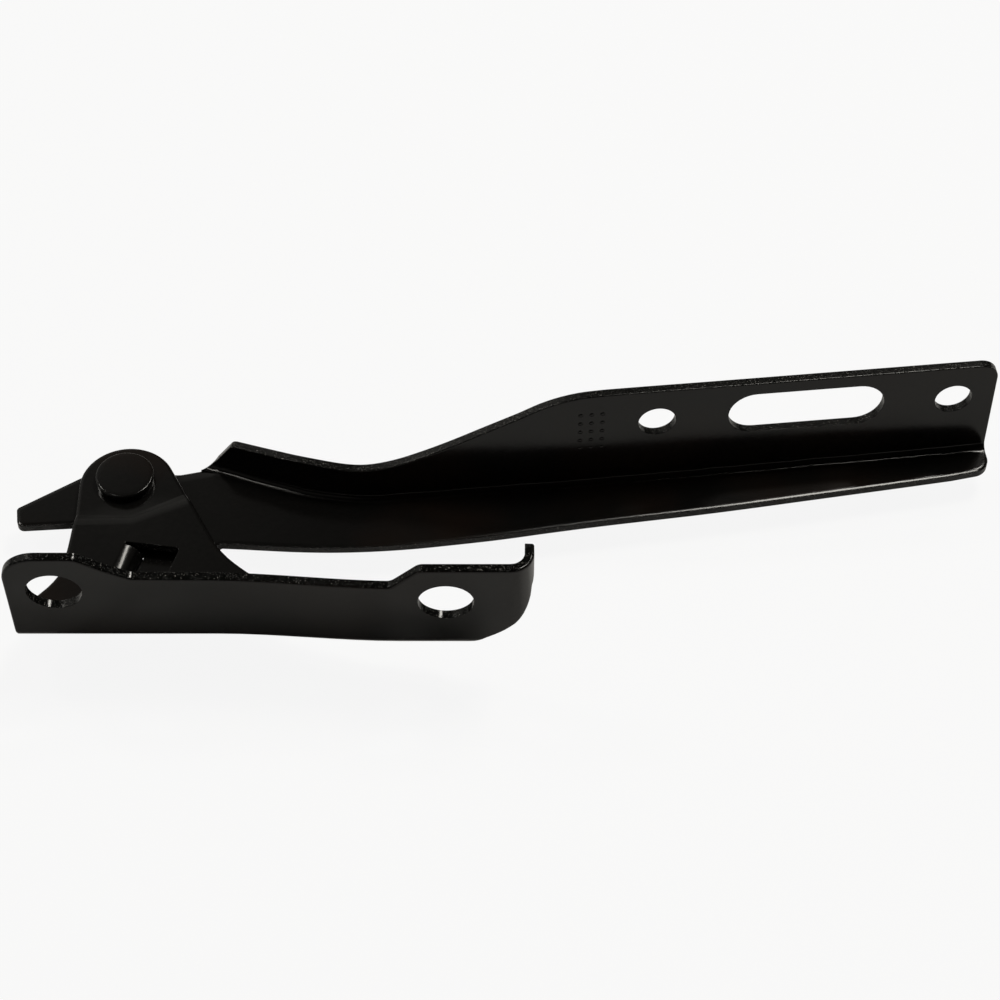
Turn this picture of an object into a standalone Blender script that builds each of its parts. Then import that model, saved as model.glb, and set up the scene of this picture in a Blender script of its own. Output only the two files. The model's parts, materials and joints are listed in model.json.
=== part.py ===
"""Bonnet hinge: stamped body bracket, stamped bonnet arm and the riveted pivot between them."""
import math

import bpy
import numpy as np
from mathutils import Vector
from mathutils.geometry import delaunay_2d_cdt

# Sizes in millimetres. The pivot axis is Z through X = 0, Y = 0 and the pivot pad's front is Z = 0.
SHEET_T = 2.6            # both stampings
GAP = 0.3                # between faces that touch on the real hinge

# Body bracket
BEND_R = 2.4             # inner radius of the long bend
SEAT_DROP = 56.07        # pivot axis to the seating face
SEAT_LEAN = 3.0          # degrees the seating flange leans forward
FLANGE_LEFT = 25.8       # left end of the flange, left of the pivot
EAR_H_LEFT = 37.7        # flange height at the left ear
EAR_H_RIGHT = 35.85      # flange height at the right ear
WAIST_H = 28.6           # flange height between the ears, left end
WAIST_H_RIGHT = 27.8     # and right end
WAIST_X0 = 9.6
WAIST_X1 = 80.9
EAR_END = -5.0           # right end of the left ear
EAR_START = 88.8         # left end of the right ear
EAR_R = 10.0             # outer corner of the left ear
EAR_BLEND = 5.0          # curves between the ears and the waist
SET_FORWARD = 2.63       # right half of the flange stands this much further forward
SET_X0 = 31.0
SET_X1 = 83.0
CURL_X = 113.8           # where the flange starts to curl back
CURL_R = 6.6             # outer radius of the curl
CURL_END = 4.0           # straight end after the curl
CURL_LOW = 32.2          # developed height of the curl's lower corner
CURL_TOP_R = 2.0         # corners of the curled end
CURL_LOW_R = 2.5
BOLT_R = 7.8             # bracket bolt holes
BOLT_LEFT = (-12.16, 22.6)
BOLT_RIGHT = (96.07, 21.2)
HUB_R = 14.1             # round top of the upright
HUB_DX = 0.5
PAD_STEP = 1.0           # the pivot pad is pressed back by this much
PAD_Y = -11.8            # lower edge of the pad
PAD_BLEND = 4.5          # width of the pressed step
PAD_SLOPE = 26.8         # degrees, right part of the pad's edge
PAD_KNEE = 2.65

# Stop tab, lanced from the upright and bent back
TAB_DIR = 253.0          # degrees, direction of its bend line
TAB_DIST = 8.8           # pivot axis to the bend line
TAB_R = 2.4              # inner radius of its bend
TAB_TOP = 21.6           # along the bend line from the pivot's foot
TAB_END = 34.2
TAB_LEN = 14.4           # flat length before bending
WINDOW_W = 15.8
WINDOW_TOP = 20.9
WINDOW_END = 35.6
WINDOW_SKEW = 2.5
TAB_CORNER = 1.5
WINDOW_CORNER = 1.0

# Bonnet arm
WEB_Z = -3.8             # front face of the arm's web
EDGE_ROLL = 0.45         # the web's upper edge is rolled back by this much beside the hub
EDGE_ROLL_W = 4.5        # width of the rolled edge
HUB_EDGE = ((15.4, 7.3), (21.6, 8.7))    # upper edge beside the hub
ARM_BEND_R = 2.4
ARM_LEAN = 1.0           # degrees the bonnet flange leans back
ARM_END = 256.9          # right end
ARM_TOP_Z = 31.9         # flange top at the right end
ARM_HUB_R = 12.4
NOSE_DIST = 10.9         # pivot axis to the nose's lower edge
NOSE_DIR = 4.0           # degrees
NOSE_TIP_X = -32.0
NOSE_TIP_Y = -6.2
NOSE_TIP_R = 1.5
NOSE_LOW_R = 2.2         # lower corner of the nose
NOSE_SLANT = 0.9         # its tip leans by this much
NOSE_ROOT_X = -11.6      # where the nose meets the stop notch
NOSE_ROOT_R = 1.5
NOTCH_R = 24.0           # round the pivot, clears the stop tab
LOBE_REACH = 27.7        # from the pivot's foot to the lobe's lower corner
LOBE_IN_R = 0.3
LOBE_OUT_R = 1.0
LOBE = [(13.0, -33.6, 8.0), (17.5, -36.0, 4.0), (24.6, -23.0, 5.0)]    # its lower edge, with corner radii
END_DROP = 6.6           # right end, from the crease to its lower corner
END_LOW_R = 5.0
END_TOP_R = 5.5
FLANGE_START = (31.2, 7.6)
FLANGE_START_R = 2.5
HUB_EDGE_R = 3.0
HUB_SIDE = (10.6, 6.4)   # hollow between the hub and its upper edge
HUB_SIDE_R = 4.0
ARM_BOLT_R = 5.5
ARM_BOLT_NEAR = (156.96, 20.58)
ARM_BOLT_FAR = (244.68, 18.96)
SLOT_R = 8.05
SLOT_A = (185.9, 20.45)
SLOT_B = (215.9, 19.95)

# Pivot
HEAD_R = 8.65
HEAD_H = 4.2
HEAD_EDGE = 0.7
SHANK_R = 5.0
BUSH_WALL = 1.2
BUSH_FLANGE_R = 9.5
LINER_R = 11.0
LINER_T = 1.0
WASHER_R = 10.0
WASHER_T = 2.0
TAIL_R = 7.6
TAIL_H = 3.0
TAIL_EDGE = 1.2

# The origin is a point on the seating face, this far right of the pivot and up the flange
ORIGIN_X = 6.0
ORIGIN_H = 15.0

# Crease between the arm's web and flange, front faces
CREASE = [(27.3, 9.2), (33.4, 7.05), (39.5, 4.9), (45.6, 2.65), (50.0, 1.15), (55.0, -0.2), (60.7, -1.45),
          (65.4, -2.15), (71.0, -2.4), (78.5, -1.95), (87.4, -1.1), (96.3, -0.15), (105.2, 0.72),
          (117.1, 1.85), (128.0, 2.95), (141.0, 4.32), (171.0, 7.82), (201.1, 11.34), (231.5, 14.9),
          (ARM_END, 17.87)]
# Top edge of the arm's flange as X, Z
FLANGE_TOP = [(40.0, 8.1), (46.0, 8.6), (52.0, 8.9), (58.0, 8.9), (64.0, 8.65), (70.0, 8.5), (76.0, 9.1),
              (82.0, 10.6), (88.0, 12.8), (94.0, 15.3), (99.5, 17.9), (105.0, 20.7), (111.0, 23.7),
              (117.0, 26.7), (122.7, 29.8), (128.5, 32.0), (134.0, 33.2), (140.0, 33.6), (148.0, 33.6),
              (170.0, 33.2)]
# Lower edge of the arm's web
BELLY = [(29.5, -19.5), (35.0, -19.8), (41.0, -20.2), (52.4, -20.85), (64.0, -21.0), (75.8, -20.5),
         (87.0, -19.5), (96.3, -18.3), (111.0, -16.2), (125.0, -13.75), (140.5, -11.2), (155.3, -9.0),
         (170.2, -6.8), (185.2, -4.35), (200.2, -1.75), (215.3, 0.85), (230.4, 3.45), (246.0, 6.2)]
# Side of the upright where it spreads into the bend, right and left, as X, Y
FLARE_RIGHT = [(28.8, -23.9), (32.3, -28.1), (36.1, -31.6), (40.5, -35.1), (48.0, -40.2), (57.0, -44.9),
               (67.0, -48.6), (78.0, -51.0)]
FLARE_LEFT = [(-13.6, -12.0), (-14.1, -18.6), (-14.8, -26.7), (-16.4, -35.0), (-18.9, -38.9),
              (-21.8, -42.2), (-24.5, -45.6), (-25.6, -49.0)]
# Lower right corner of the flange, as developed X and height above the bend line
CORNER = [(96.0, -0.6), (100.0, 1.2), (104.0, 3.4), (108.3, 6.2), (111.2, 8.3), (113.9, 10.9),
          (116.2, 14.0), (118.5, 18.6), (119.8, 22.4), (120.4, 26.2)]

ARC_STEP = 9.0           # degrees between points on round edges
CURVE_STEP = 5.0         # millimetres between points on free curves
CUT = 46.0               # reach of the lines that cut the flat pattern into bands


def smooth_line(points, step):
    """Points along a smooth curve through the given points."""
    p = np.array(points, float)
    chord = np.hypot(*(p[1:] - p[:-1]).T)
    s = np.concatenate(([0.0], np.cumsum(chord)))
    tangent = np.gradient(p, s, axis=0)
    out = []
    for i in range(len(p) - 1):
        count = max(1, int(math.ceil(chord[i] / step)))
        for k in range(count):
            x = k / count
            h = chord[i]
            a = 2 * x ** 3 - 3 * x ** 2 + 1
            b = x ** 3 - 2 * x ** 2 + x
            c = -2 * x ** 3 + 3 * x ** 2
            d = x ** 3 - x ** 2
            out.append(a * p[i] + b * h * tangent[i] + c * p[i + 1] + d * h * tangent[i + 1])
    out.append(p[-1])
    return np.array(out)


def rounded(corners):
    """Closed outline from (x, y, radius) corners; radius 0 keeps the point."""
    out = []
    count = len(corners)
    for i, (x, y, r) in enumerate(corners):
        p = np.array((x, y), float)
        if r <= 0:
            out.append(p)
            continue
        a = np.array(corners[i - 1][:2], float) - p
        b = np.array(corners[(i + 1) % count][:2], float) - p
        la, lb = np.hypot(*a), np.hypot(*b)
        a, b = a / la, b / lb
        angle = math.acos(max(-1.0, min(1.0, float(a @ b))))
        if angle > math.radians(178.0):
            out.append(p)
            continue
        setback = min(r / math.tan(angle / 2), 0.48 * la, 0.48 * lb)
        r = setback * math.tan(angle / 2)
        mid = (a + b) / np.hypot(*(a + b))
        centre = p + mid * r / math.sin(angle / 2)
        start, end = p + a * setback - centre, p + b * setback - centre
        a0 = math.atan2(start[1], start[0])
        turn = math.atan2(start[0] * end[1] - start[1] * end[0], float(start @ end))
        steps = max(2, int(math.ceil(abs(math.degrees(turn)) / ARC_STEP)))
        for k in range(steps + 1):
            t = a0 + turn * k / steps
            out.append(centre + r * np.array((math.cos(t), math.sin(t))))
    return np.array(out)


def ring(cx, cy, r, count):
    """Circle as a closed outline."""
    t = np.arange(count) * 2 * math.pi / count
    return np.column_stack((cx + r * np.cos(t), cy + r * np.sin(t)))


def arc(r, start, end):
    """Points on a circle round the pivot, angles in degrees."""
    count = max(2, int(math.ceil(abs(end - start) / ARC_STEP)))
    t = np.radians(np.linspace(start, end, count + 1))
    return np.column_stack((r * np.cos(t), r * np.sin(t)))


def plain(points):
    """Corners with no radius."""
    return [(float(x), float(y), 0.0) for x, y in points]


def inside(points, polygon):
    """Even-odd test of many points against one outline."""
    x, y = points[:, 0][:, None], points[:, 1][:, None]
    x0, y0 = polygon[:, 0][None], polygon[:, 1][None]
    x1, y1 = np.roll(polygon[:, 0], -1)[None], np.roll(polygon[:, 1], -1)[None]
    crosses = (y0 > y) != (y1 > y)
    height = np.where(y1 == y0, 1.0, y1 - y0)
    hit = crosses & (x < (x1 - x0) * (y - y0) / height + x0)
    return hit.sum(axis=1) % 2 == 1


def flat_mesh(outline, holes, lines):
    """Triangles of the flat pattern, cut along the given lines."""
    verts, edges = [], []
    for loop in [outline] + holes:
        first = len(verts)
        verts.extend(Vector((float(x), float(y))) for x, y in loop)
        edges.extend((first + i, first + (i + 1) % len(loop)) for i in range(len(loop)))
    for line in lines:
        first = len(verts)
        verts.extend(Vector((float(x), float(y))) for x, y in line)
        edges.extend((first + i, first + i + 1) for i in range(len(line) - 1))
    result = delaunay_2d_cdt(verts, edges, [], 0, 1e-5)
    points = np.array([(v.x, v.y) for v in result[0]])
    tris = np.array([f for f in result[2] if len(f) == 3])
    centre = points[tris].mean(axis=1)
    keep = inside(centre, outline)
    for hole in holes:
        keep &= ~inside(centre, hole)
    tris = tris[keep]
    used = np.unique(tris)
    index = np.full(len(points), -1)
    index[used] = np.arange(len(used))
    points, tris = points[used], index[tris]
    a, b, c = points[tris[:, 0]], points[tris[:, 1]], points[tris[:, 2]]
    area = (b[:, 0] - a[:, 0]) * (c[:, 1] - a[:, 1]) - (b[:, 1] - a[:, 1]) * (c[:, 0] - a[:, 0])
    tris[area < 0] = tris[area < 0][:, ::-1]
    return points, tris


def sheet(outline, holes, lines, shape):
    """Closed sheet solid: the flat pattern with a front and a back face, then shaped."""
    points, tris = flat_mesh(outline, holes, lines)
    count = len(points)
    front = shape(points, 0.0)
    back = shape(points, SHEET_T)
    faces = [tuple(t) for t in tris]
    faces += [tuple(count + i for i in t[::-1]) for t in tris]
    seen = set()
    for t in tris:
        for i in range(3):
            seen.add((int(t[i]), int(t[(i + 1) % 3])))
    for a, b in sorted(seen):
        if (b, a) not in seen:
            faces.append((b, a, a + count, b + count))
    return np.vstack((front, back)), faces


def turned(profile, count):
    """Solid of revolution round the pivot axis from a closed (radius, z) profile."""
    verts, faces, rows = [], [], []
    for r, z in profile:
        if r < 1e-9:
            rows.append([len(verts)] * count)
            verts.append((0.0, 0.0, z))
            continue
        rows.append(list(range(len(verts), len(verts) + count)))
        for k in range(count):
            t = 2 * math.pi * k / count
            verts.append((r * math.cos(t), r * math.sin(t), z))
    for i, row in enumerate(rows):
        nxt = rows[(i + 1) % len(rows)]
        for k in range(count):
            m = (k + 1) % count
            face = []
            for v in (row[k], nxt[k], nxt[m], row[m]):
                if v not in face:
                    face.append(v)
            if len(face) > 2:
                faces.append(tuple(face))
    return np.array(verts), faces


BEND_ANGLE = math.radians(90.0 - SEAT_LEAN)
BEND_LEN = BEND_ANGLE * (BEND_R + SHEET_T / 2)
BEND_Z = PAD_STEP + BEND_R
LEAN_Z = BEND_Z - (BEND_R + SHEET_T) * math.cos(BEND_ANGLE)
BEND_Y = (-SEAT_DROP + (BEND_R + SHEET_T) * math.sin(BEND_ANGLE)
          - LEAN_Z * math.tan(math.radians(SEAT_LEAN)))
RISE = LEAN_Z / math.cos(math.radians(SEAT_LEAN)) - BEND_LEN
CURL_ARC = math.pi / 2 * (CURL_R - SHEET_T / 2)


def set_forward(x):
    """Shift of the bend and flange towards the front at X."""
    t = np.clip((np.asarray(x, float) - SET_X0) / (SET_X1 - SET_X0), 0.0, 1.0)
    return -SET_FORWARD * t * t * (3 - 2 * t)


def flange_point(x, height):
    """Flat pattern point of a point on the flange's front face."""
    return x, RISE - height


def upright_point(x, y):
    """Flat pattern point of a point on the upright."""
    return x, y - BEND_Y - float(set_forward(x))


def tab_frame():
    """Foot of the tab's bend line, its direction and the direction across it."""
    t = math.radians(TAB_DIR)
    along = np.array((math.cos(t), math.sin(t)))
    across = np.array((-along[1], along[0]))
    return TAB_DIST * across, along, across


def bracket_shape(points, depth):
    """Bracket surface at a depth below its front face."""
    u, t = points[:, 0], points[:, 1]
    shift = set_forward(u)
    y = t + BEND_Y + shift
    x = u.copy()
    slope = math.radians(PAD_SLOPE)
    below = np.maximum(PAD_Y - y, (PAD_Y + (x - PAD_KNEE) * math.tan(slope) - y) * math.cos(slope))
    step = 1.0 - (1.0 - np.clip(below / PAD_BLEND, 0.0, 1.0)) ** 2
    z = PAD_STEP * step - depth
    # Long bend and seating flange
    v = np.maximum(-t, 0.0)
    phi = np.minimum(v / (BEND_R + SHEET_T / 2), BEND_ANGLE)
    radius = BEND_R + depth
    rise = np.maximum(v - BEND_LEN, 0.0)
    bent = t < 0
    front = BEND_Y + shift - (BEND_R + SHEET_T) * np.sin(phi) - rise * math.cos(BEND_ANGLE)
    y = np.where(bent, BEND_Y + shift - radius * np.sin(phi) - rise * math.cos(BEND_ANGLE), y)
    z = np.where(bent, BEND_Z - radius * np.cos(phi) + rise * math.sin(BEND_ANGLE), z)
    # Curl at the right end
    psi = np.clip((u - CURL_X) / (CURL_R - SHEET_T / 2), 0.0, math.pi / 2)
    past = np.maximum(u - CURL_X - CURL_ARC, 0.0)
    curl = (u > CURL_X) & bent
    rho = CURL_R - (y - front)
    x = np.where(curl, CURL_X + rho * np.sin(psi), x)
    y = np.where(curl, front + CURL_R - rho * np.cos(psi) + past, y)
    # Stop tab
    foot, along, across = tab_frame()
    flat = np.column_stack((x, y)) - foot
    a, b = flat @ across, flat @ along
    tab = (~bent) & (a > 1e-6) & (a < TAB_LEN + 1e-3) & (b > TAB_TOP - 1e-3) & (b < TAB_END + 1e-3)
    theta = np.minimum(a / (TAB_R + SHEET_T / 2), math.pi / 2)
    reach = TAB_R + SHEET_T - depth
    drop = np.maximum(a - math.pi / 2 * (TAB_R + SHEET_T / 2), 0.0)
    moved = foot + (reach * np.sin(theta))[:, None] * across + b[:, None] * along
    x = np.where(tab, moved[:, 0], x)
    y = np.where(tab, moved[:, 1], y)
    z = np.where(tab, PAD_STEP - SHEET_T - TAB_R + reach * np.cos(theta) - drop, z)
    return np.column_stack((x, y, z))


def bracket():
    """Body bracket: upright with pivot pad and stop tab, long bend, seating flange."""
    corners = [(*flange_point(-FLANGE_LEFT, EAR_H_LEFT), EAR_R),
               (*flange_point(EAR_END, EAR_H_LEFT), EAR_BLEND),
               (*flange_point((EAR_END + WAIST_X0) / 2, 0.45 * EAR_H_LEFT + 0.55 * WAIST_H), 1.8 * EAR_BLEND),
               (*flange_point(WAIST_X0, WAIST_H), EAR_BLEND),
               (*flange_point(WAIST_X1, WAIST_H_RIGHT), 0.6 * EAR_BLEND),
               (*flange_point(EAR_START, EAR_H_RIGHT), 0.6 * EAR_BLEND)]
    curl_end = CURL_X + CURL_ARC + CURL_END
    corners += [(*flange_point(curl_end, EAR_H_RIGHT), CURL_TOP_R), (curl_end, -CURL_LOW, CURL_LOW_R)]
    corners += plain((x, -h) for x, h in smooth_line(CORNER[::-1], CURVE_STEP))
    flare = smooth_line(FLARE_RIGHT[::-1], CURVE_STEP)
    corners += plain([upright_point(x, y) for x, y in flare])
    # Straight side up to the round top
    x0, y0 = FLARE_RIGHT[0]
    dx, dy = x0 - HUB_DX, y0
    far = math.hypot(dx, dy)
    touch = math.degrees(math.atan2(dy, dx) + math.acos(HUB_R / far))
    top = arc(HUB_R, touch, 180.0) + np.array((HUB_DX, 0.0))
    corners += plain([upright_point(x, y) for x, y in top])
    flare = smooth_line(FLARE_LEFT, CURVE_STEP)
    corners += plain([upright_point(x, y) for x, y in flare])
    corners.append((-FLANGE_LEFT, 0.6, 0.0))
    outline = rounded(corners)

    foot, along, across = tab_frame()

    def at(a, b):
        x, y = foot + a * across + b * along
        return upright_point(x, y)

    skew = WINDOW_SKEW / WINDOW_W
    cut = [(*at(0.0, WINDOW_TOP), 0.0), (*at(0.0, TAB_TOP), 0.0), (*at(TAB_LEN, TAB_TOP), TAB_CORNER),
           (*at(TAB_LEN, TAB_END - skew * TAB_LEN), TAB_CORNER), (*at(0.0, TAB_END), 0.0),
           (*at(0.0, WINDOW_END), 0.0), (*at(WINDOW_W, WINDOW_END - WINDOW_SKEW), WINDOW_CORNER),
           (*at(WINDOW_W, WINDOW_TOP - WINDOW_SKEW), WINDOW_CORNER)]
    holes = [rounded(cut), ring(0.0, -BEND_Y, SHANK_R + GAP, 48),
             ring(*flange_point(*BOLT_LEFT), BOLT_R, 48), ring(*flange_point(*BOLT_RIGHT), BOLT_R, 48)]

    lines = []
    right = curl_end + CURL_R
    for k in range(6):
        t = -BEND_LEN * k / 5
        lines.append([(-CUT, t), (right, t)])
    for k in range(9):
        x = SET_X0 + (SET_X1 - SET_X0) * k / 8
        lines.append([(x, CUT / 6), (x, -CUT)])
    for k in range(7):
        x = CURL_X + CURL_ARC * k / 6
        lines.append([(x, -CUT / 46), (x, -CUT)])
    slope = math.tan(math.radians(PAD_SLOPE))
    for k in range(4):
        low = PAD_BLEND * k / 3
        y = PAD_Y - low
        knee = PAD_KNEE + low * math.tan(math.radians(PAD_SLOPE / 2))
        ends = [(-CUT, y), (knee, y), (knee + CUT, y + CUT * slope)]
        lines.append([upright_point(*p) if p[0] < SET_X0 else (p[0], p[1] - BEND_Y) for p in ends])
    bend = math.pi / 2 * (TAB_R + SHEET_T / 2)
    for k in range(5):
        a = bend * k / 4
        top = (TAB_TOP + WINDOW_TOP) / 2 if k else TAB_TOP
        low = TAB_END - skew * a + (GAP if k else 0.0)
        lines.append([at(a, top), at(a, low)])
    return sheet(outline, holes, lines, bracket_shape)


ARM_ANGLE = math.radians(90.0 - ARM_LEAN)
ARM_BEND_LEN = ARM_ANGLE * (ARM_BEND_R + SHEET_T / 2)


def fold_path():
    """Where the arm's web starts to bend: points, unit normals towards the flange."""
    line = smooth_line(CREASE, 1.0)
    first = line[0] - line[1]
    last = line[-1] - line[-2]
    line = np.vstack((line[0] + first / np.hypot(*first) * 90.0, line, line[-1] + last * 20.0))
    tangent = np.gradient(line, axis=0)
    tangent[1], tangent[-2] = line[2] - line[1], line[-2] - line[-3]
    tangent /= np.hypot(*tangent.T)[:, None]
    normal = np.column_stack((-tangent[:, 1], tangent[:, 0]))
    return line - normal * ARM_BEND_R * math.tan(ARM_ANGLE / 2), normal


FOLD, FOLD_N = fold_path()


def fold_frame(points):
    """Nearest place on the fold path for each flat point: foot, normal and signed distance."""
    a, b = FOLD[:-1], FOLD[1:]
    d = b - a
    rel = points[:, None, :] - a[None]
    t = np.clip((rel * d).sum(axis=2) / (d * d).sum(axis=1), 0.0, 1.0)
    near = a[None] + t[..., None] * d
    gap = points[:, None, :] - near
    best = np.argmin((gap ** 2).sum(axis=2), axis=1)
    row = np.arange(len(points))
    share = t[row, best][:, None]
    normal = FOLD_N[best] * (1 - share) + FOLD_N[best + 1] * share
    normal /= np.hypot(*normal.T)[:, None]
    foot = near[row, best]
    return foot, normal, ((points - foot) * normal).sum(axis=1)


def arm_shape(points, depth):
    """Arm surface at a depth below its front face."""
    foot, normal, d = fold_frame(points)
    phi = np.clip(d / (ARM_BEND_R + SHEET_T / 2), 0.0, ARM_ANGLE)
    rise = np.maximum(d - ARM_BEND_LEN, 0.0)
    radius = ARM_BEND_R + depth
    out = radius * np.sin(phi) + rise * math.cos(ARM_ANGLE)
    up = WEB_Z + ARM_BEND_R - radius * np.cos(phi) + rise * math.sin(ARM_ANGLE)
    folded = foot + out[:, None] * normal
    bent = d > 0
    x = np.where(bent, folded[:, 0], points[:, 0])
    y = np.where(bent, folded[:, 1], points[:, 1])
    # Rolled upper edge beside the hub
    (ax, ay), (bx, by) = HUB_EDGE
    below = ay + (points[:, 0] - ax) * (by - ay) / (bx - ax) - points[:, 1]
    share = np.clip(1.0 - below / EDGE_ROLL_W, 0.0, 1.0) ** 2
    fade = EDGE_ROLL_W * 0.7
    reach = np.clip((points[:, 0] - ax) / fade + 1.0, 0.0, 1.0)
    reach *= np.clip((bx - points[:, 0]) / fade + 2.0, 0.0, 1.0)
    z = np.where(bent, up, WEB_Z - depth - EDGE_ROLL * share * reach)
    return np.column_stack((x, y, z))


def wall_point(x, z):
    """Flat pattern point of a point on the arm flange's front face."""
    base = FOLD + FOLD_N * ARM_BEND_R
    i = int(np.clip(np.searchsorted(base[:, 0], x) - 1, 0, len(FOLD) - 2))
    t = (x - base[i, 0]) / (base[i + 1, 0] - base[i, 0])
    foot = FOLD[i] * (1 - t) + FOLD[i + 1] * t
    normal = FOLD_N[i] * (1 - t) + FOLD_N[i + 1] * t
    normal /= np.hypot(*normal)
    low = WEB_Z + ARM_BEND_R * (1 - math.cos(ARM_ANGLE))
    d = ARM_BEND_LEN + (z - low) / math.sin(ARM_ANGLE)
    return foot + d * normal


def arm():
    """Bonnet arm: web with hub, nose and stop notch, bent flange with bolt holes and slot."""
    t = math.radians(NOSE_DIR)

    def nose_y(x):
        return (x * math.sin(t) - NOSE_DIST) / math.cos(t)

    root = NOSE_ROOT_X
    foot, along, across = tab_frame()
    stop = foot + (TAB_R + SHEET_T + GAP) * across
    reach = math.sqrt(NOTCH_R ** 2 - float(stop @ stop))
    lobe_in = stop + reach * along
    lobe_out = stop + LOBE_REACH * along
    start = math.degrees(math.atan2(-math.sqrt(NOTCH_R ** 2 - root ** 2), root))
    end = math.degrees(math.atan2(lobe_in[1], lobe_in[0]))
    low_x = NOSE_TIP_X + NOSE_SLANT
    corners = [(low_x, nose_y(low_x), NOSE_LOW_R), (root, nose_y(root), NOSE_ROOT_R)]
    corners += plain(arc(NOTCH_R, start, end)[:-1])
    corners += [(lobe_in[0], lobe_in[1], LOBE_IN_R), (lobe_out[0], lobe_out[1], LOBE_OUT_R)] + LOBE
    corners += plain(smooth_line(BELLY, CURVE_STEP))
    low_end = wall_point(ARM_END, 0.0)
    end_low = FOLD[-2] - END_DROP * FOLD_N[-2]
    corners.append((end_low[0], end_low[1], END_LOW_R))
    corners.append((float(low_end[0]), float(low_end[1]), 0.0))
    corners.append((*wall_point(ARM_END, ARM_TOP_Z), END_TOP_R))
    top = smooth_line(FLANGE_TOP[::-1], CURVE_STEP)
    corners += plain([wall_point(x, z) for x, z in top])
    corners.append((*wall_point(*FLANGE_START), FLANGE_START_R))
    corners += [(*HUB_EDGE[1], HUB_EDGE_R), (*HUB_EDGE[0], 0.0), (*HUB_SIDE, HUB_SIDE_R)]
    # Round hub and straight upper edge of the nose, tangent to it
    tip = np.array((NOSE_TIP_X, NOSE_TIP_Y))
    far = math.hypot(*tip)
    touch = math.degrees(math.atan2(tip[1], tip[0]) - math.acos(ARM_HUB_R / far)) % 360.0
    corners += plain(arc(ARM_HUB_R, 40.0, touch))
    corners.append((tip[0], tip[1], NOSE_TIP_R))
    outline = rounded(corners)

    holes = [ring(0.0, 0.0, SHANK_R + 2 * GAP + BUSH_WALL, 48)]
    for x, z in (ARM_BOLT_NEAR, ARM_BOLT_FAR):
        holes.append(ring(*wall_point(x, z), ARM_BOLT_R, 40))
    a, b = wall_point(*SLOT_A), wall_point(*SLOT_B)
    turn = math.atan2(*(b - a)[::-1])
    half = np.linspace(math.pi / 2, 3 * math.pi / 2, 19)
    left = [a + SLOT_R * np.array((math.cos(turn + s), math.sin(turn + s))) for s in half]
    right = [b - SLOT_R * np.array((math.cos(turn + s), math.sin(turn + s))) for s in half]
    holes.append(np.array(left + right))

    lines = []
    inner = np.arange(len(FOLD))[1:-1:6]
    for k in range(6):
        d = ARM_BEND_LEN * k / 5
        near = FOLD[inner] + FOLD_N[inner] * d
        first = FOLD[1] + FOLD_N[1] * d + (FOLD[0] - FOLD[1]) * 0.12
        last = FOLD[-1] + FOLD_N[-1] * d
        lines.append(np.vstack((first, near, last)))
    for i in inner:
        if FOLD[i, 0] < 150.0:
            lines.append([FOLD[i], FOLD[i] + FOLD_N[i] * CUT])
    (ax, ay), (bx, by) = HUB_EDGE
    slope = (by - ay) / (bx - ax)
    for k in range(4):
        low = EDGE_ROLL_W * (k / 4 + 0.13)
        spread = np.linspace(ax - EDGE_ROLL_W * 0.7, bx + EDGE_ROLL_W * 1.8, 8)
        lines.append([(x, ay + (x - ax) * slope - low) for x in spread])
    return sheet(outline, holes, lines, arm_shape)


def rivet():
    """Pivot rivet: flat round head, shank and formed tail."""
    base = GAP
    top = base + HEAD_H
    edge = [(HEAD_R - HEAD_EDGE * (1 - math.sin(t)), top - HEAD_EDGE * (1 - math.cos(t)))
            for t in np.radians(np.linspace(0.0, 90.0, 5))]
    tail = tail_z()
    low = tail - TAIL_H
    form = [(TAIL_R - TAIL_EDGE * (1 - math.cos(t)), low + TAIL_EDGE * (1 - math.sin(t)))
            for t in np.radians(np.linspace(0.0, 90.0, 5))]
    profile = [(0.0, top)] + edge + [(HEAD_R, base), (SHANK_R, base), (SHANK_R, tail), (TAIL_R, tail)]
    profile += form + [(0.0, low)]
    return turned(profile, 64)


def tail_z():
    """Underside level where the rivet's tail begins."""
    return WEB_Z - SHEET_T - GAP - LINER_T - GAP - WASHER_T - GAP


def bush():
    """Flanged bush in the arm's hub hole."""
    inner = SHANK_R + GAP
    outer = inner + BUSH_WALL
    top = -SHEET_T - GAP
    low = WEB_Z + GAP
    end = WEB_Z - SHEET_T
    return turned([(inner, top), (inner, end), (outer, end), (outer, low), (BUSH_FLANGE_R, low),
                   (BUSH_FLANGE_R, top)][::-1], 48)


def disc(outer, top, thick):
    """Flat washer round the rivet's shank."""
    inner = SHANK_R + GAP
    return turned([(inner, top), (outer, top), (outer, top - thick), (inner, top - thick)], 48)


def origin_point():
    """The row origin, a point on the seating face, seen from the pivot."""
    lean = math.radians(SEAT_LEAN)
    return np.array((ORIGIN_X, -SEAT_DROP - ORIGIN_H * math.sin(lean), ORIGIN_H * math.cos(lean)))


def add_object(name, data, color, metallic, roughness):
    """Mesh object with its own material, placed so that its origin is on the pivot axis."""
    verts, faces = data
    mesh = bpy.data.meshes.new(name)
    mesh.from_pydata([tuple(v) for v in verts * 0.001], [], faces)
    mesh.validate()
    mesh.update()
    material = bpy.data.materials.new(name)
    material.use_nodes = True
    shader = material.node_tree.nodes["Principled BSDF"]
    shader.inputs["Base Color"].default_value = (*color, 1.0)
    shader.inputs["Metallic"].default_value = metallic
    shader.inputs["Roughness"].default_value = roughness
    mesh.materials.append(material)
    obj = bpy.data.objects.new(name, mesh)
    bpy.context.scene.collection.objects.link(obj)
    obj.location = tuple(-origin_point() * 0.001)
    for polygon in mesh.polygons:
        polygon.use_smooth = True
    mesh.set_sharp_from_angle(angle=math.radians(25.0))
    return obj


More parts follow.
